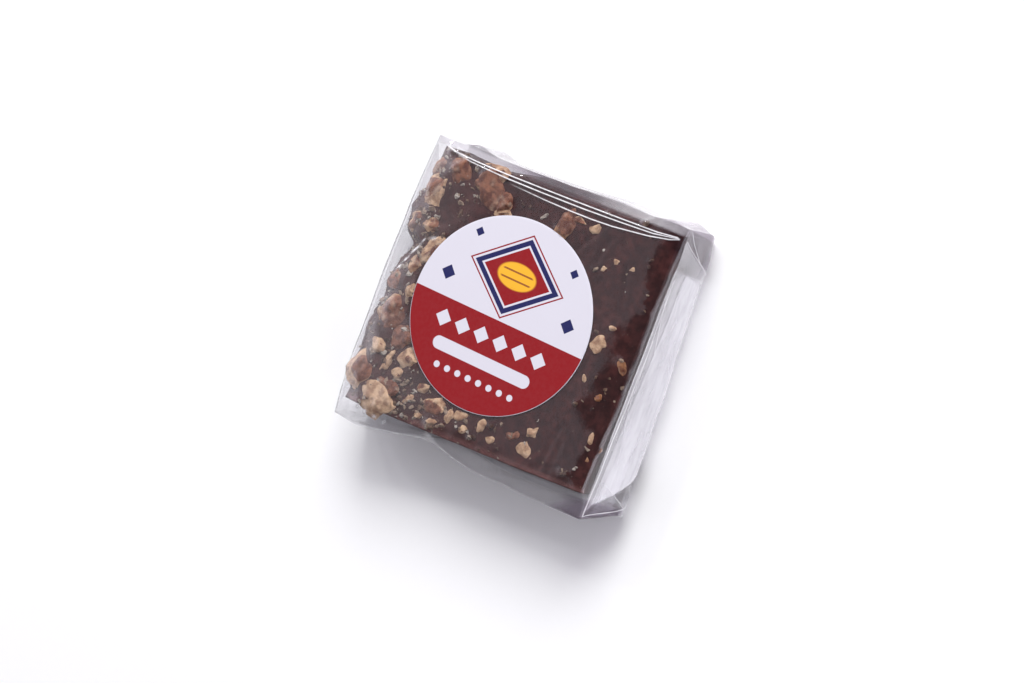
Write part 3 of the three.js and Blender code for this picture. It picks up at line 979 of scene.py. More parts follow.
# %% [markdown]
# ## Crumbs
#
# Hundreds of crumbs and specks lie between the pieces, most of them to the left. Scattering is what
# Geometry Nodes do best: points are strewn over the slab where an attribute says how many, a rough
# little lump is put on each one at a random size and turn, and a noise bends every lump its own
# way. First come an empty tree with its named inputs, and a short way to add a node to it.

# %% Start a scattering tree
class Strewing:
    """A Geometry Nodes tree with sockets for scattering, and a short way to add nodes to it."""

    def __init__(self, name):
        self.tree = bpy.data.node_groups.new(name, "GeometryNodeTree")
        face = self.tree.interface
        face.new_socket("Surface", in_out="INPUT", socket_type="NodeSocketGeometry")
        for label in ("Per square metre", "Smallest", "Largest"):
            face.new_socket(label, in_out="INPUT", socket_type="NodeSocketFloat")
        face.new_socket("Seed", in_out="INPUT", socket_type="NodeSocketInt")
        face.new_socket("Crumbs", in_out="OUTPUT", socket_type="NodeSocketGeometry")

    def add(self, kind, settings=None, **inputs):
        """A node; an input is given by its name, or by i and its number where names repeat."""
        node = self.tree.nodes.new(kind)
        for key, value in (settings or {}).items():
            setattr(node, key, value)
        for key, value in inputs.items():
            numbered = key[0] == "i" and key[1:].isdigit()
            socket = node.inputs[int(key[1:]) if numbered else key.replace("_", " ")]
            if isinstance(value, bpy.types.NodeSocket):
                self.tree.links.new(value, socket)
            else:
                socket.default_value = value
        return node


print("a tree takes its sizes and its seed as named inputs")

# %% [markdown]
# The first half of the tree strews the points and sets a lump on each. Most lumps are small and a
# few are big, because a random number from 0 to 1 raised to a power is mostly small. Each lump is
# squashed and turned at random too.

# %% Write the strewing
FEW_BIG = 2.2
SLIMMEST = (0.60, 0.30, 0.30)
FATTEST = (1.40, 0.85, 0.65)


def strewn_lumps(strewing, fineness):
    """Adds the strewn lumps to a tree and gives back the node that places them."""
    add = strewing.add
    given = add("NodeGroupInput").outputs
    share = add("GeometryNodeInputNamedAttribute", {"data_type": "FLOAT"}, Name="crumb_share")
    density = add("ShaderNodeMath", {"operation": "MULTIPLY"},
                  i0=share.outputs[0], i1=given["Per square metre"])
    strewn = add("GeometryNodeDistributePointsOnFaces",
                 Mesh=given["Surface"], Density=density.outputs[0], Seed=given["Seed"])
    lump = add("GeometryNodeMeshIcoSphere", Radius=0.5, Subdivisions=fineness)
    chance = add("FunctionNodeRandomValue", {"data_type": "FLOAT"}, Seed=given["Seed"])
    few_big = add("ShaderNodeMath", {"operation": "POWER"}, i0=chance.outputs[1], i1=FEW_BIG)
    size = add("ShaderNodeMapRange",
               Value=few_big.outputs[0], i3=given["Smallest"], i4=given["Largest"])
    squash = add("FunctionNodeRandomValue", {"data_type": "FLOAT_VECTOR"}, i0=SLIMMEST, i1=FATTEST)
    scale = add("ShaderNodeVectorMath", {"operation": "SCALE"},
                i0=squash.outputs[0], Scale=size.outputs[0])
    spin = add("FunctionNodeRandomValue", {"data_type": "FLOAT_VECTOR"},
               i0=(-0.5, -0.5, 0.0), i1=(0.5, 0.5, 2 * math.pi))
    return add("GeometryNodeInstanceOnPoints", Points=strewn.outputs["Points"],
               Instance=lump.outputs["Mesh"], Rotation=spin.outputs[0], Scale=scale.outputs[0])


print("the slimmest lump is", SLIMMEST, "of its size and the fattest is", FATTEST)

# %% [markdown]
# The second half stores a random tint for each lump, makes the lumps real and pushes their points
# about by a noise, so that no two are alike. The tree ends by giving them their material.

# %% Write the scattering tree
BEND_SCALE = 1500.0
BEND = 1.3 * MM


def scatter_tree(name, material, fineness):
    """A tree that strews rough lumps over a surface."""
    strewing = Strewing(name)
    add = strewing.add
    placed = strewn_lumps(strewing, fineness)
    hue = add("FunctionNodeRandomValue", {"data_type": "FLOAT"}, Seed=7)
    tinted = add("GeometryNodeStoreNamedAttribute", {"data_type": "FLOAT", "domain": "INSTANCE"},
                 Geometry=placed.outputs[0], Name="tint", Value=hue.outputs[1])
    real = add("GeometryNodeRealizeInstances", Geometry=tinted.outputs[0])
    bend = add("ShaderNodeTexNoise", Scale=BEND_SCALE, Detail=1.0)
    centred = add("ShaderNodeVectorMath", {"operation": "SUBTRACT"},
                  i0=bend.outputs["Color"], i1=(0.5, 0.5, 0.5))
    push = add("ShaderNodeVectorMath", {"operation": "SCALE"}, i0=centred.outputs[0], Scale=BEND)
    bent = add("GeometryNodeSetPosition", Geometry=real.outputs[0], Offset=push.outputs[0])
    dressed = add("GeometryNodeSetMaterial", Geometry=bent.outputs[0], Material=material)
    add("NodeGroupOutput", i0=dressed.outputs[0])
    return strewing.tree


print("every lump is bent by up to", round(BEND / MM / 2, 2), "mm along each axis")

# %% [markdown]
# A tree acts through a modifier. Its inputs are set by their identifiers before it first runs, its
# result is taken as a plain mesh, and the object that carried it is removed. The crumbs next to the
# film are held in like everything else.

# %% Write the scattering run
CRUMB_MARGIN = 0.06
CRUMB_SHARP = 22


def scatter(name, source, tree, **inputs):
    """Runs a scattering tree on a copy of source and gives back its result as a plain mesh."""
    host = bpy.data.objects.new(name + "_host", source.data)
    bpy.context.scene.collection.objects.link(host)
    modifier = host.modifiers.new(name, "NODES")
    modifier.node_group = tree
    for item in tree.interface.items_tree:
        if item.in_out == "INPUT" and item.name in inputs:
            modifier[item.identifier] = inputs[item.name]
    graph = bpy.context.evaluated_depsgraph_get()
    mesh = bpy.data.meshes.new_from_object(host.evaluated_get(graph))
    bpy.data.objects.remove(host)
    mesh.name = name
    found = np.empty(3 * len(mesh.vertices), np.float32)
    mesh.vertices.foreach_get("co", found)
    held = held_in(found.reshape(-1, 3) / MM, CRUMB_MARGIN)
    mesh.vertices.foreach_set("co", np.float32(held * MM).ravel())
    mesh.shade_smooth()
    mesh.set_sharp_from_angle(angle=math.radians(CRUMB_SHARP))
    made = bpy.data.objects.new(name, mesh)
    bpy.context.scene.collection.objects.link(made)
    print(name, "has", sum(len(p.vertices) - 2 for p in mesh.polygons), "triangles")
    return made


print("crumbs stay", CRUMB_MARGIN, "mm inside the film")

# %% [markdown]
# A crumb is pale nut meal, brown skin or a lump of fudge, so one random number for each crumb picks its
# colour.

# %% Mix the crumbs' finish
crumb = Finish("nut crumbs")
at = crumb.millimetres()
tint = crumb.attribute("tint")
pale = crumb.mix(crumb.ramp(tint, 0.10, 0.35), colour(0.44, 0.39, 0.34), colour(0.30, 0.215, 0.155))
dark = crumb.mix(crumb.ramp(tint, 0.66, 0.9), colour(0.15, 0.085, 0.055), colour(0.055, 0.022, 0.017))
meal = crumb.mix(crumb.ramp(tint, 0.45, 0.6), pale, dark)
soiled = crumb.ramp(crumb.noise(at, 2.4), 0.4, 0.7, 0.0, 0.5)
meal = crumb.mix(soiled, meal, colour(0.12, 0.07, 0.045))
crumb_material = crumb.finish(crumb.add("BsdfPrincipled", Base_Color=meal, Roughness=0.6))
print(crumb_material.name, "run from nearly white to dark brown")

# %% [markdown]
# The same tree is run twice: once for crumbs of half a millimetre to two, and once for specks so
# small that a coarser lump will do.

# %% Scatter the crumbs and the specks
PER_SQUARE_METRE = 700000.0

crumb_sizes = {"Smallest": 0.45 * MM, "Largest": 2.1 * MM, "Seed": 4}
crumbs = scatter("pecan_crumbs", slab, scatter_tree("strew crumbs", crumb_material, 2),
                 **{"Per square metre": PER_SQUARE_METRE}, **crumb_sizes)
speck_sizes = {"Smallest": 0.14 * MM, "Largest": 0.5 * MM, "Seed": 11}
specks = scatter("sugar_specks", slab, scatter_tree("strew specks", crumb_material, 1),
                 **{"Per square metre": PER_SQUARE_METRE}, **speck_sizes)

# %% [markdown]
# ## What the film lies on
#
# Film is pulled tight over the food, so its shape follows from what is under it. First the contents
# are turned into a map of heights, 0.25 mm to a step: each place keeps the highest point found there.
# A narrow spread then closes the small gaps between points, because film doesn't dip into them.

# %% Write the height map's helpers
MAP_STEP = 0.25
MAP_HALF = 42.0
MAP_CELLS = int(2 * MAP_HALF / MAP_STEP)


def mesh_points(made):
    """An object's vertices in mm."""
    found = np.empty(3 * len(made.data.vertices), np.float32)
    made.data.vertices.foreach_get("co", found)
    return found.reshape(-1, 3) / MM


def spread(heights):
    """Each place takes the highest of itself and its eight neighbours."""
    padded = np.pad(heights, 1, mode="edge")
    side = heights.shape[0]
    windows = [padded[j:j + side, i:i + side] for j in range(3) for i in range(3)]
    return np.max(windows, axis=0)


print("the map has", MAP_CELLS, "cells to a side")

# %% [markdown]
# Every vertex of the fudge, the nuts, the crumbs and the specks is dropped into its cell of the map.
# Between cells the height is blended, so the film gets no steps.

# %% Map the heights of the contents
contents = np.zeros((MAP_CELLS + 1, MAP_CELLS + 1))
for made in (slab, pecans, crumbs, specks):
    found = mesh_points(made)
    cell = np.round((found[:, :2] + MAP_HALF) / MAP_STEP).astype(int)
    np.maximum.at(contents, (cell[:, 1], cell[:, 0]), found[:, 2])
contents = spread(contents)


def contents_under(x, y):
    """Height of the contents under each place of the film."""
    i = np.clip((x + MAP_HALF) / MAP_STEP, 0, MAP_CELLS - 1e-6)
    j = np.clip((y + MAP_HALF) / MAP_STEP, 0, MAP_CELLS - 1e-6)
    i0, j0 = i.astype(int), j.astype(int)
    u, v = i - i0, j - j0
    low = contents[j0, i0] * (1 - u) + contents[j0, i0 + 1] * u
    high = contents[j0 + 1, i0] * (1 - u) + contents[j0 + 1, i0 + 1] * u
    return low * (1 - v) + high * v


print("contents reach", contents.max().round(2), "mm")

# %% [markdown]
# ## The film's top
#
# The top of the film is a grid stretched between its four rims. It is finer near the back edge,
# where three thin wrinkles run to the corner.

# %% Stretch the film between its rims
FILM_COLUMNS = 156
COARSE_ROWS = 92
FINE_ROWS = 66
LAST_ROWS = 10
FINE_FROM = 0.912
FINE_TO = 0.985

share_x = np.linspace(0, 1, FILM_COLUMNS + 1)
share_y = np.concatenate([np.linspace(0, FINE_FROM, COARSE_ROWS, endpoint=False),
                          np.linspace(FINE_FROM, FINE_TO, FINE_ROWS, endpoint=False),
                          np.linspace(FINE_TO, 1, LAST_ROWS + 1)])
FILM_ROWS = len(share_y) - 1
front_rim, back_rim = wall(0, share_x, 1.0), wall(2, 1 - share_x, 1.0)
right_rim, left_rim = wall(1, share_y, 1.0), wall(3, 1 - share_y, 1.0)
u, v = np.meshgrid(share_x, share_y)
u, v = u[..., None], v[..., None]
film_grid = ((1 - v) * front_rim[None] + v * back_rim[None]
             + (1 - u) * left_rim[:, None] + u * right_rim[:, None]
             - (1 - u) * (1 - v) * front_rim[0] - u * (1 - v) * front_rim[-1]
             - (1 - u) * v * back_rim[0] - u * v * back_rim[-1])
film_x, film_y = film_grid[..., 0], film_grid[..., 1]
print("the film's top has", FILM_COLUMNS * FILM_ROWS, "cells")

# %% [markdown]
# The film can't sink into the contents, and where nothing is high enough to reach it, nothing holds
# it up. Under the label it is stuck to the paper, so there its height is given.

# %% Find what holds the film up
FILM_CLEARANCE = 0.07
TOO_LOW = 12
STUCK_AT = TOP - 0.03
NO_LIMIT = 99.0

under = contents_under(film_x, film_y) + FILM_CLEARANCE
under[under < TOO_LOW] = 0
on_label = np.hypot(film_x - LABEL_X, film_y - LABEL_Y) < LABEL_R - 0.4
under[on_label] = STUCK_AT
over = np.where(on_label, STUCK_AT, NO_LIMIT)
print("the label holds", round(float(on_label.mean()), 2), "of the film's top")

# %% [markdown]
# The height in between is found by relaxing the grid: every point settles halfway between its
# neighbours unless the contents are higher, as a tight sheet does. Going a little past halfway each
# time gets there sooner. The points are taken like the squares of a chessboard, first one colour
# and then the other, which keeps that steady.

# %% Relax the film over the contents
RELAXING = 900
PAST_HALFWAY = 1.7

height = np.minimum(np.maximum(film_grid[..., 2], under), over)
step_x = np.gradient(film_x, axis=1)[1:-1, 1:-1]
step_y = np.gradient(film_y, axis=0)[1:-1, 1:-1]
pull_x, pull_y = 1 / step_x ** 2, 1 / step_y ** 2
checker = (np.add.outer(np.arange(FILM_ROWS - 1), np.arange(FILM_COLUMNS - 1)) % 2).astype(bool)
for _ in range(RELAXING):
    for squares in (checker, ~checker):
        inner = height[1:-1, 1:-1]
        sides = pull_x * (height[1:-1, :-2] + height[1:-1, 2:])
        sides = sides + pull_y * (height[:-2, 1:-1] + height[2:, 1:-1])
        settled = sides / (2 * (pull_x + pull_y))
        eased = inner + PAST_HALFWAY * (settled - inner)
        inner[squares] = np.clip(eased, under[1:-1, 1:-1], over[1:-1, 1:-1])[squares]
print("film touches", round(float((height - under < 0.02).mean()), 2), "of the top")

# %% [markdown]
# Tight film still wrinkles: thin, nearly straight ridges that fan out from the corner where it was pulled.
# Each one here is a line of places, with a share of the full ridge at each of them. At this size a ridge is
# seen as a crisp white line of light, so each line also carries a thin white haze, a painted highlight.

# %% Draw the wrinkles
RIDGE_HEIGHT = 0.10
RIDGE_WIDTH = 0.30
WRINKLE_GLINT = 0.95
WRINKLE_GLINT_WIDTH = 0.115
# Each wrinkle: places along it, then its height there as a share.
WRINKLES = [
    ([(-34.5, 34.9), (-30, 34.25), (-24, 33.85), (-15, 33.6), (-5, 33.5),
      (5, 33.45), (18, 33.5), (29, 33.6), (34.6, 34.1)],
     [0.8, 1.0, 1.0, 1.0, 1.0, 1.0, 1.0, 1.0, 0.8]),
    ([(-34, 34.6), (-26, 33.3), (-15, 32.65), (-5, 32.45), (8, 32.4), (19, 32.6), (28, 32.9), (34.8, 33.9)],
     [0, 0.7, 1.0, 1.0, 1.0, 1.0, 1.0, 0.7]),
    ([(-14, 31.7), (-3, 31.0), (5, 30.75), (11, 30.7), (17, 30.9), (27, 31.9), (32.5, 32.9), (34.8, 33.7)],
     [0, 0.7, 1.0, 1.0, 1.0, 1.0, 0.9, 0.6]),
    ([(-27.0, 12.4), (-30.6, 11.0), (-33.4, 5.6), (-35.8, 0.7)], [0, 0.9, 1.0, 0.7]),
    ([(-35.2, -34.4), (-31.2, -35.4), (-24, -36.2)], [1.0, 1.0, 0.3]),
]
print(len(WRINKLES), "wrinkles")

# %% [markdown]
# The ridges are added to the film's height. The rest of the film gets a faint, slow unevenness, so
# that its reflections aren't as straight as glass. It is rougher to the left, over the nuts, and it
# leaves out the label and the tight strip at the back.

# %% Add the wrinkles
ridges = np.zeros(height.shape)
wrinkle_glint = np.zeros(height.shape)
for places, shares in WRINKLES:
    gap, strength = away_from_line(film_x, film_y, places, shares)
    ridges += RIDGE_HEIGHT * strength * np.exp(-((gap / RIDGE_WIDTH) ** 2))
    # a thin white haze on each wrinkle: a painted highlight
    wrinkle_glint += WRINKLE_GLINT * strength * np.exp(-((gap / WRINKLE_GLINT_WIDTH) ** 2))
free = smooth(np.minimum.reduce([u[..., 0], 1 - u[..., 0], v[..., 0], 1 - v[..., 0]]), 0, 0.03)
calm = 1 - smooth(film_y, 27.0, 30.0)
off_label = smooth(np.hypot(film_x - LABEL_X, film_y - LABEL_Y) - LABEL_R, -0.3, 2.5)
to_right = smooth(film_x, 16, 24)
slow = cloud(flat(film_x, 1.6 * film_y), 14, 61, 2).reshape(height.shape) * (1 - 0.7 * to_right)
quick = cloud(flat(film_x, film_y), 3.2, 63, 2).reshape(height.shape) * (1 - 0.6 * to_right)
over_nuts = 1 - smooth(film_x + 0.3 * film_y, -26, 2)
uneven = 0.035 * slow + (0.012 + 0.085 * over_nuts) * quick
height += calm * off_label * free * uneven + ridges * free
film_grid[..., 2] = height
print("wrinkles up to", ridges.max().round(2), "mm")

# %% [markdown]
# ## The film's material
#
# Clear film is seen by what it mirrors. Each of its two faces mirrors about 4% of the light, more at
# a slant. A Fresnel node gives that share. It turns the ratio over for a back face, which suits a
# ray that bends, but this film lets rays straight through, so the ratio is turned back. A glass
# shader would bend the view of the fudge and slow the render, and thin film does neither.

# %% Write the clear film
FILM_IOR = 1.5
ONE_LAYER = colour(0.985, 0.985, 0.99)
# grey-mauve tone: partly gathered film, partly painted shade
GATHERED_AND_SHADED_TONE = colour(0.755, 0.715, 0.765)


def clear_film(film, at, roughness):
    """The see-through film, the share of light that it mirrors and its faint tilt."""
    back = film.add("NewGeometry", output=6)
    ratio = film.math("ADD", FILM_IOR, film.math("MULTIPLY", back, 1 / FILM_IOR - FILM_IOR))
    crinkle = film.noise(film.vector("MULTIPLY", at, (1.0, 1.5, 1.0)), 0.75, 3.0)
    tilt = film.add("Bump", 0.25, 0.12 * MM, Height=crinkle)
    share = film.add("Fresnel", ratio, tilt)
    tone = film.mix(film.attribute("layers"), ONE_LAYER, GATHERED_AND_SHADED_TONE)
    clear = film.add("BsdfTransparent", tone)
    mirror = film.add("BsdfGlossy", colour(1, 1, 1), roughness, Normal=tilt)
    return film.add("MixShader", share, clear, mirror), share, tilt


head_on = ((FILM_IOR - 1) / (FILM_IOR + 1)) ** 2
print("each face mirrors", round(head_on, 3), "of the light that meets it head on")

# %% [markdown]
# Two attributes change the film from place to place. Where film is gathered, `layers` turns it grey and a
# little mauve and darkens what is behind it, partly as the gathered film does and partly as painted shade.
# Where film is doubled it scatters light, so `haze` mixes in a white that is lit mostly from its own side
# and a little through the sheet; along the creases the same white paints thin highlights. Soft streaks make
# the haze uneven, as it is on folded film.

# %% Mix the film's finish
FILM_WHITE = colour(0.97, 0.96, 0.98)
THROUGH = 0.12


def film_finish(name, roughness):
    """Film that is clear, milky by its haze, and grey-mauve where film is gathered and where shade is
    painted.
    """
    film = Finish(name)
    at = film.millimetres()
    bare, share, tilt = clear_film(film, at, roughness)
    streaks = film.noise(film.vector("MULTIPLY", at, (0.6, 0.10, 0.6)), 0.9, 3.0)
    uneven = film.ramp(streaks, 0.3, 0.7, 0.80, 1.15)
    milk = film.math("MULTIPLY", film.attribute("haze"), uneven, clamp=True)
    white = film.add("MixShader", THROUGH, film.add("BsdfDiffuse", FILM_WHITE),
                     film.add("BsdfTranslucent", FILM_WHITE))
    glaze = film.add("BsdfGlossy", colour(1, 1, 1), roughness, Normal=tilt)
    milky = film.add("MixShader", share, white, glaze)
    return film.finish(film.add("MixShader", milk, bare, milky))


film_material = film_finish("clear film", 0.05)
print(film_material.name, "lets", THROUGH, "of its white through")

# %% [markdown]
# ## The bag
#
# Walls and top join into one closed bag. Rings of wall points run from the floor up to the rim, with
# a place for every place on the top's border, and two smaller rings close the underside.

# %% Raise the bag's walls
FILM_FOOT = 0.06
WALL_LEVELS = 22
WALL_EASE = 1.15

ring_shares = np.linspace(0, 1, WALL_LEVELS, endpoint=False) ** WALL_EASE * 0.985 + 0.004
film_rings = []
for share in [0.0] + list(ring_shares):
    front = wall(0, share_x[:-1], share)
    right = wall(1, share_y[:-1], share)
    back = wall(2, 1 - share_x[:0:-1], share)
    left = wall(3, 1 - share_y[:0:-1], share)
    film_rings.append(np.concatenate([front, right, back, left]))
foot_ring = film_rings[0]
underside = [foot_ring * [share, share, 0] + [0, 0, FILM_FOOT] for share in (0.5, 0.97)]
film_points, film_faces = shell(film_grid, underside + film_rings[1:])
print("the bag has", len(film_points), "points")

# %% [markdown]
# The haze is strongest low on the right end, where the wrapper was folded over and sealed, and it stops
# along the flap's slanting foot. It is faint on the front and left walls, a little stronger on the back
# wall and at its right corner, and along the wrinkles of the top it paints crisp white lines, a painted
# highlight.

# %% Mark the film's haze
CLEAREST = 0.004
RIGHT_MILK = 0.54
LEFT_MILK = 0.06
FRONT_MILK = 0.05
CORNER_MILK = 0.12
FLAP_SLANT = 0.83

on_wall = 1 - smooth(film_points[:, 2], TOP - 3.5, TOP - 2.2)
right_here = smooth(film_points[:, 0], 34.6, 35.4) * on_wall
left_here = smooth(-film_points[:, 0], 35.6, 36.6) * smooth(TOP - 2.0 - film_points[:, 2], 0, 1)
front_here = smooth(-film_points[:, 1], 34.8, 35.6)
back_here = smooth(film_points[:, 1], 34.6, 35.6)
flap_foot = 1.2 - (film_points[:, 1] + 22.0) * FLAP_SLANT
milky = smooth(film_points[:, 2] - flap_foot, -0.8, 0.8) * (1 - smooth(film_points[:, 1], 24.0, 27.5))
lower = 1 - smooth(film_points[:, 2], 8.5, 15.2)
haze = CLEAREST + right_here * (0.02 + RIGHT_MILK * lower * milky)
back_haze = 0.05 + 0.11 * smooth(film_points[:, 0], 4.0, 18.0)
corner_here = smooth(film_points[:, 0] + film_points[:, 1], 63.0, 67.0)
elsewhere = LEFT_MILK * left_here + FRONT_MILK * front_here + back_haze * back_here
haze += (1 - right_here) * elsewhere
veil = 0.018 * (1 - smooth(film_x + 0.3 * film_y, -30, -16))
# the wrinkles' painted highlight joins the haze of the top
haze[:film_x.size] += wrinkle_glint.ravel() + veil.ravel()
haze += CORNER_MILK * corner_here * smooth(TOP - 1.5 - film_points[:, 2], 0, 1.5)
print("haze up to", haze.max().round(2))

# %% [markdown]
# Film is gathered in three places: behind the slab, at the back right corner and at the tip in front on the
# right. There its grey-mauve tone is partly the gathered film and partly painted shade. A Solidify modifier
# then gives the film its thickness, outwards, so that nothing inside touches it.

# %% Make the bag
FILM_THICKNESS = 0.045

tip_here = smooth(film_points[:, 0] - film_points[:, 1], 63.0, 71.0)
tip_here *= smooth(-film_points[:, 1], 34.5, 35.5)
dark_back = smooth(film_points[:, 0], -22, -6) * (1 - 0.85 * smooth(film_points[:, 0], 6, 18))
# partly gathered film and partly painted shade at the back, the corner and the tip
gathered_and_shaded = back_here * (0.12 + 0.70 * dark_back) + 0.85 * corner_here + tip_here
layers = np.clip(gathered_and_shaded, 0, 1)
film = piece("film", film_points, film_faces, film_material, haze=haze, layers=layers)
thick = film.modifiers.new("thickness", "SOLIDIFY")
thick.thickness = FILM_THICKNESS * MM
thick.offset = 1.0
print("film", FILM_THICKNESS, "mm thick")

# %% [markdown]
# ## The folded ends
#
# At each end of the pack the spare film is folded over flat and sealed, like the ends of a parcel.
# The panels follow the bag's end wall at a hair's gap, so the first helper asks the wall where it is
# at a distance along it and a height.

# %% Write the way onto an end wall
def on_end(side, y, z, out):
    """A point of an end wall at a distance along it and a height, moved outwards."""
    y, z = np.asarray(y, float), np.asarray(z, float)
    t = (y + FILM_Y) / (2 * FILM_Y)
    t = np.clip(t if side == 1 else 1 - t, -0.06, 1.06)
    rim = CORNERS[side][3] + (CORNERS[(side + 1) % 4][3] - CORNERS[side][3]) * t + lift(side, y)
    share = np.clip(z / rim, 0, 1)
    found = np.array([wall(side, [a], float(b))[0] for a, b in zip(t.ravel(), share.ravel())])
    found[:, 0] += (1 if side == 1 else -1) * np.ravel(out)
    found[:, 1] = y.ravel()
    return found


middle = on_end(1, [0.0], [8.0], 0.0)
print("halfway along, the right wall stands at", middle[0, 0].round(1), "mm")

# %% [markdown]
# A panel is a thin closed sheet with four corners, each given as how far it is along the wall and how
# high. A small unevenness moves it in and out, so that its reflections break up.

# %% Write a folded panel
PANEL_CELLS = 26


def panel(corners, side, out, thickness=0.05, sag=0.10, seed=0):
    """A thin closed sheet on an end wall; corners are four (y, z) places, in order round it."""
    a, b = np.meshgrid(np.linspace(0, 1, PANEL_CELLS + 1), np.linspace(0, 1, PANEL_CELLS + 1))
    (y0, z0), (y1, z1), (y2, z2), (y3, z3) = corners
    y = (1 - a) * (1 - b) * y0 + a * (1 - b) * y1 + a * b * y2 + (1 - a) * b * y3
    z = (1 - a) * (1 - b) * z0 + a * (1 - b) * z1 + a * b * z2 + (1 - a) * b * z3
    ruffle = sag * cloud(flat(0.3 * y, z), 5.0, 70 + seed, 2)
    face = on_end(side, y, z, out + ruffle)
    count = (PANEL_CELLS + 1) ** 2
    inside = face.copy()
    inside[:, 0] -= (1 if side == 1 else -1) * thickness
    points = np.concatenate([face, inside])
    number = np.arange(count).reshape(PANEL_CELLS + 1, -1)
    quads = [(number[j, i], number[j, i + 1], number[j + 1, i + 1], number[j + 1, i])
             for j in range(PANEL_CELLS) for i in range(PANEL_CELLS)]
    faces = quads + [tuple(count + k for k in reversed(q)) for q in quads]
    rim = [number[j, i] for i, j in border(PANEL_CELLS, PANEL_CELLS)]
    for here, after in zip(rim, rim[1:] + rim[:1]):
        faces.append((here, count + here, count + after, after))
    return points, faces


print("a panel has", 2 * (PANEL_CELLS + 1) ** 2, "points")

# %% [markdown]
# The right end shows two large flaps, one over the other, and two small ones at its ends. The left
# end is hardly seen and is folded in the same way.

# %% List the panels
# Side, four corners (along, height), how far out, haze.
PANELS = [
    (1, [(-38.6, 14.9), (-22.0, 1.2), (24.6, 1.2), (26.4, 16.2)], 0.20, 0.30),
    (1, [(-36.0, 13.6), (-24.0, 3.0), (23.6, 2.6), (25.6, 11.6)], 0.40, 0.32),
    (1, [(24.4, 1.2), (27.6, 3.2), (33.9, 16.7), (26.3, 16.3)], 0.30, 0.14),
    (1, [(-36.6, 6.5), (-36.0, 0.8), (-30.5, 0.6), (-31.5, 5.0)], 0.30, 0.10),
    (3, [(31.0, 0.8), (-31.0, 0.8), (-25.0, 9.0), (25.0, 9.5)], 0.20, 0.08),
    (3, [(34.8, 15.6), (25.5, 6.5), (-25.0, 7.0), (-36.0, 14.6)], 0.42, 0.08),
]
print(len(PANELS), "panels")

# %% [markdown]
# Where the flaps are folded, the film creases, and each crease catches the light as a thin white line. Here
# that line is painted: a crease is a very narrow hazy white panel of its own, a little in front of the
# flaps.

# %% List the creases
# Side, the two ends (along, height), the width and the haze that paints the crease's highlight.
CREASE_GLINTS = [
    (1, (-39.2, 15.0), (-12.0, 14.6), 0.16, 0.75),
    (1, (-39.0, 14.8), (8.0, 14.2), 0.14, 0.60),
    (1, (-20.0, 15.6), (10.0, 16.2), 0.14, 0.45),
    (1, (-6.0, 13.6), (24.0, 15.4), 0.12, 0.55),
    (1, (-39.2, 14.6), (-33.0, 3.0), 0.14, 0.60),
    (1, (22.0, 16.4), (5.0, 12.4), 0.14, 0.45),
    (1, (0.0, 15.2), (-24.0, 11.0), 0.12, 0.35),
    (1, (-30.0, 12.0), (-37.0, 2.0), 0.14, 0.40),
    (1, (33.9, 16.6), (27.4, 4.0), 0.14, 0.60),
    (1, (36.4, 15.8), (29.8, 8.6), 0.14, 0.60),
]
CREASE_GLINT_OUT = 0.52

for side, (y0, z0), (y1, z1), width, milk in CREASE_GLINTS:
    lean = width / math.hypot(y1 - y0, z1 - z0)
    dy, dz = -(z1 - z0) * lean, (y1 - y0) * lean
    strip = [(y0, z0), (y1, z1), (y1 + dy, z1 + dz), (y0 + dy, z0 + dz)]
    # each crease strip is a painted highlight
    PANELS.append((side, strip, CREASE_GLINT_OUT, milk))
print(len(CREASE_GLINTS), "creases")

# %% [markdown]
# All panels and creases become one object. On the left end the faces are turned round, because
# there outwards is the other way.

# %% Make the folded ends
fold_points, fold_faces, fold_haze = [], [], []
fold_count = 0
for index, (side, corners, out, milk) in enumerate(PANELS):
    points, faces = panel(corners, side, out, seed=index)
    if side == 3:
        faces = [tuple(reversed(f)) for f in faces]
    fold_points.append(points)
    fold_faces += [tuple(fold_count + k for k in f) for f in faces]
    fold_haze.append(np.full(len(points), milk))
    fold_count += len(points)
folds = piece("film_folds", np.concatenate(fold_points), fold_faces, film_finish("folded film", 0.08),
              sharp=40, haze=np.concatenate(fold_haze), layers=np.zeros(fold_count))

# %% [markdown]
# ## The label
#
# The label is a paper disc stuck on the film. It is thin, with a softly rounded white edge, and it
# sags a little with the film. A disc of rings gives that: rings close together at the edge, and
# farther apart inside.

# %% Lay the label's rings
LABEL_THICKNESS = 0.16
LABEL_FLOATS = 0.02
LABEL_SAG = 0.035
LABEL_SPOKES = 240
LABEL_LEVELS = 46

turns = np.linspace(0, 2 * math.pi, LABEL_SPOKES, endpoint=False)
rounding = np.array([(0.0, 0.0), (0.0, 0.03), (0.0, 0.10), (-0.02, 0.145), (-0.06, LABEL_THICKNESS)])
profile = [(LABEL_R * r, 0.0) for r in (0.15, 0.5, 0.9)] + [(LABEL_R + a, b) for a, b in rounding]
profile += [((LABEL_R - 0.06) * (1 - k / LABEL_LEVELS), LABEL_THICKNESS) for k in range(1, LABEL_LEVELS)]
loops = []
for radius, rise in profile:
    ring = np.column_stack([LABEL_X + radius * np.cos(turns), LABEL_Y + radius * np.sin(turns), 0 * turns])
    sag = LABEL_SAG * cloud(ring, 11, 81, 2) * min(1, (LABEL_R - radius + 3) / 8)
    ring[:, 2] = TOP + LABEL_FLOATS + rise + sag
    loops.append(ring)
print("label of", len(loops), "rings")

# %% [markdown]
# Bands of faces join each ring to the next, and a fan of triangles closes the disc above and below.

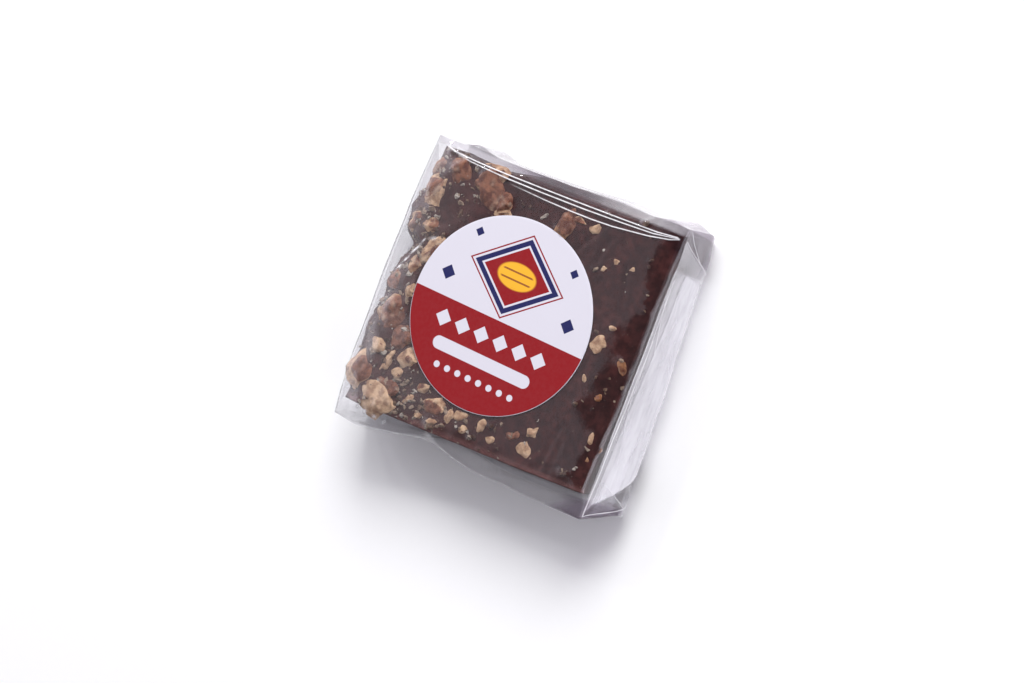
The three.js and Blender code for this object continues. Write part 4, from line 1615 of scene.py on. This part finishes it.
# %% Join the label's rings
label_points = np.concatenate(loops + [loops[0].mean(0)[None], loops[-1].mean(0)[None]])
label_faces = []
for k in range(len(loops) - 1):
    for i in range(LABEL_SPOKES):
        n = (i + 1) % LABEL_SPOKES
        a, b = k * LABEL_SPOKES, (k + 1) * LABEL_SPOKES
        label_faces.append((a + i, a + n, b + n, b + i))
bottom, top = len(label_points) - 2, len(label_points) - 1
last = (len(loops) - 1) * LABEL_SPOKES
for i in range(LABEL_SPOKES):
    n = (i + 1) % LABEL_SPOKES
    label_faces.append((bottom, n, i))
    label_faces.append((top, last + i, last + n))
print("label of", len(label_faces), "faces")

# %% [markdown]
# The print is a plain one of its own: a white half and a red half, a badge with a nut on the white,
# and rows of diamonds and dots on the red. An image could hold it, but shapes written as formulas
# stay sharp at any size. The whole print is turned a little on the slab, as the label is.

# %% Lay the print's axes
LABEL_TURN = math.radians(-2.9)
INK_EDGE = 0.07
DIVIDE_AT = -1.3

ink = Finish("printed paper")
place = ink.add("Mapping", ink.millimetres(), settings={"vector_type": "TEXTURE"},
                Location=(LABEL_X, LABEL_Y, 0.0), Rotation=(0.0, 0.0, LABEL_TURN))
split = ink.tree.nodes.new("ShaderNodeSeparateXYZ")
ink.fill(split.inputs[0], place)
X, Y = split.outputs[0], split.outputs[1]
print("the print is turned", round(math.degrees(LABEL_TURN), 1), "degrees")

# %% [markdown]
# Every shape is a distance from a centre or a line. Where the distance is under a limit there is
# ink, with a slightly soft edge, as ink has on paper.

# %% Write the print's shapes
def inside(distance, limit):
    """1 where a distance is under a limit, with a soft edge."""
    return ink.ramp(distance, limit - INK_EDGE, limit + INK_EDGE, 1.0, 0.0)


def far(x, y, cx=0.0, cy=0.0, wide=1.0, tall=1.0):
    """Distance from a centre, with the plane squeezed so that an oval reads as a circle."""
    across = ink.math("DIVIDE", ink.math("SUBTRACT", x, cx), wide)
    up = ink.math("DIVIDE", ink.math("SUBTRACT", y, cy), tall)
    squares = ink.math("ADD", ink.math("MULTIPLY", across, across), ink.math("MULTIPLY", up, up))
    return ink.math("SQRT", squares)


def diamond(x, y, cx, cy, slant=1.0):
    """Distance from a centre that grows in straight-sided diamonds."""
    across = ink.math("ABSOLUTE", ink.math("SUBTRACT", x, cx))
    up = ink.math("ABSOLUTE", ink.math("SUBTRACT", y, cy))
    return ink.math("ADD", across, ink.math("MULTIPLY", up, slant))


def band(value, low, high):
    """1 where a value lies between two limits."""
    over = ink.ramp(value, low - INK_EDGE, low + INK_EDGE)
    return ink.math("MULTIPLY", over, inside(value, high))


print("the ink's edge is", 2 * INK_EDGE, "mm wide")

# %% [markdown]
# Four inks and the paper's white are enough. The page starts as the two fields, and every later
# shape is laid over what is there already.

# %% Mix the inks and the two fields
WHITE = colour(0.675, 0.655, 0.725)
RED = colour(0.270, 0.013, 0.017)
NAVY = colour(0.020, 0.022, 0.10)
GOLD = colour(0.88, 0.45, 0.035)
BROWN = colour(0.30, 0.10, 0.03)

page = ink.mix(inside(Y, DIVIDE_AT), WHITE, RED)
print("the fields meet", -DIVIDE_AT, "mm below the middle")

# %% [markdown]
# The badge is a lozenge of five nested outlines, cut off where the red field starts, with an oval
# nut in its middle and two grooves on the nut. A small navy diamond stands on each side of it, twice.

# %% Print the badge
BADGE_AT = 10.6
BADGE_TALL = 1.25
OUTLINES = [(14.2, RED), (13.6, WHITE), (12.7, NAVY), (10.7, WHITE), (9.9, RED)]

badge = diamond(X, Y, 0.0, BADGE_AT, BADGE_TALL)
on_white = ink.ramp(Y, DIVIDE_AT, DIVIDE_AT + 0.1)
for reach, tone_here in OUTLINES:
    page = ink.mix(ink.math("MULTIPLY", inside(badge, reach), on_white), page, tone_here)
nut_y = ink.math("SUBTRACT", Y, BADGE_AT)
nut_shape = far(X, nut_y, 0.0, 0.0, 5.6, 3.4)
page = ink.mix(inside(nut_shape, 1.0), page, GOLD)
groove = band(ink.math("PINGPONG", nut_y, 1.05), 0.82, 2.0)
page = ink.mix(ink.math("MULTIPLY", groove, inside(nut_shape, 0.84)), page, BROWN)

side_x = ink.math("ABSOLUTE", X)
for cx, cy, reach in ((18.2, 4.6, 2.0), (14.4, 17.2, 1.3)):
    page = ink.mix(inside(diamond(side_x, Y, cx, cy), reach), page, NAVY)
print("a badge of", len(OUTLINES), "outlines")

# %% [markdown]
# The red field has a row of white diamonds, a rounded bar and a row of dots. A ping-pong of the
# distance along the row repeats one shape many times, and a limit on the sides ends the row.

# %% Print the rows
row_x = ink.math("PINGPONG", ink.math("ADD", X, 2.9), 2.9)
row = inside(diamond(row_x, Y, 0.0, -6.4, 1.0), 2.3)
page = ink.mix(ink.math("MULTIPLY", row, inside(side_x, 17.4)), page, WHITE)
bar_x = ink.math("MAXIMUM", ink.math("SUBTRACT", side_x, 13.0), 0.0)
page = ink.mix(inside(far(bar_x, Y, 0.0, -12.6), 1.7), page, WHITE)
dot_x = ink.math("PINGPONG", ink.math("ADD", X, 1.6), 1.6)
dots = ink.math("MULTIPLY", inside(far(dot_x, Y, 0.0, -17.8), 0.85), inside(side_x, 12.8))
page = ink.mix(dots, page, WHITE)
print("a row of diamonds, a bar and a row of dots")

# %% [markdown]
# The print stops just short of the paper's cut edge. Uncoated paper is dull and very slightly
# grained, in colour and in relief.

# %% Make the label
PAPER_EDGE = 0.12

rim_at = LABEL_R - PAPER_EDGE
page = ink.mix(ink.ramp(far(X, Y), rim_at - INK_EDGE, rim_at + INK_EDGE), page, WHITE)
paper_grain = ink.noise(ink.millimetres(), 1.2, 3.0)
page = ink.mix(ink.ramp(paper_grain, 0.3, 0.7, 0.0, 0.012), page, colour(0.5, 0.5, 0.52))
tilt = ink.add("Bump", 0.08, 0.05 * MM, Height=paper_grain)
surface = ink.add("BsdfPrincipled", Base_Color=page, Roughness=0.8, Normal=tilt,
                  Specular_IOR_Level=0.22)
label = piece("paper_label", label_points, label_faces, ink.finish(surface), sharp=50)

# %% [markdown]
# ## Tie the pieces to the frame
#
# Everything rides on the one body of the part. The fudge, its nuts and crumbs and the film together
# take the place of the packed solid, and the paper disc takes the place of the packed label.

# %% Dress the frame
DRESSING = [
    (slab, "wrapped_fudge", "fudge"),
    (pecans, "wrapped_fudge", "pecan"),
    (crumbs, "wrapped_fudge", "pecan"),
    (specks, "wrapped_fudge", "pecan"),
    (film, "wrapped_fudge", "film"),
    (folds, "wrapped_fudge", "film"),
    (label, "label", "label"),
]
for made, node, slot in DRESSING:
    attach(made, "root")
    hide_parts(node)
print("dressed", len(DRESSING), "pieces")

# %% [markdown] ## Finish
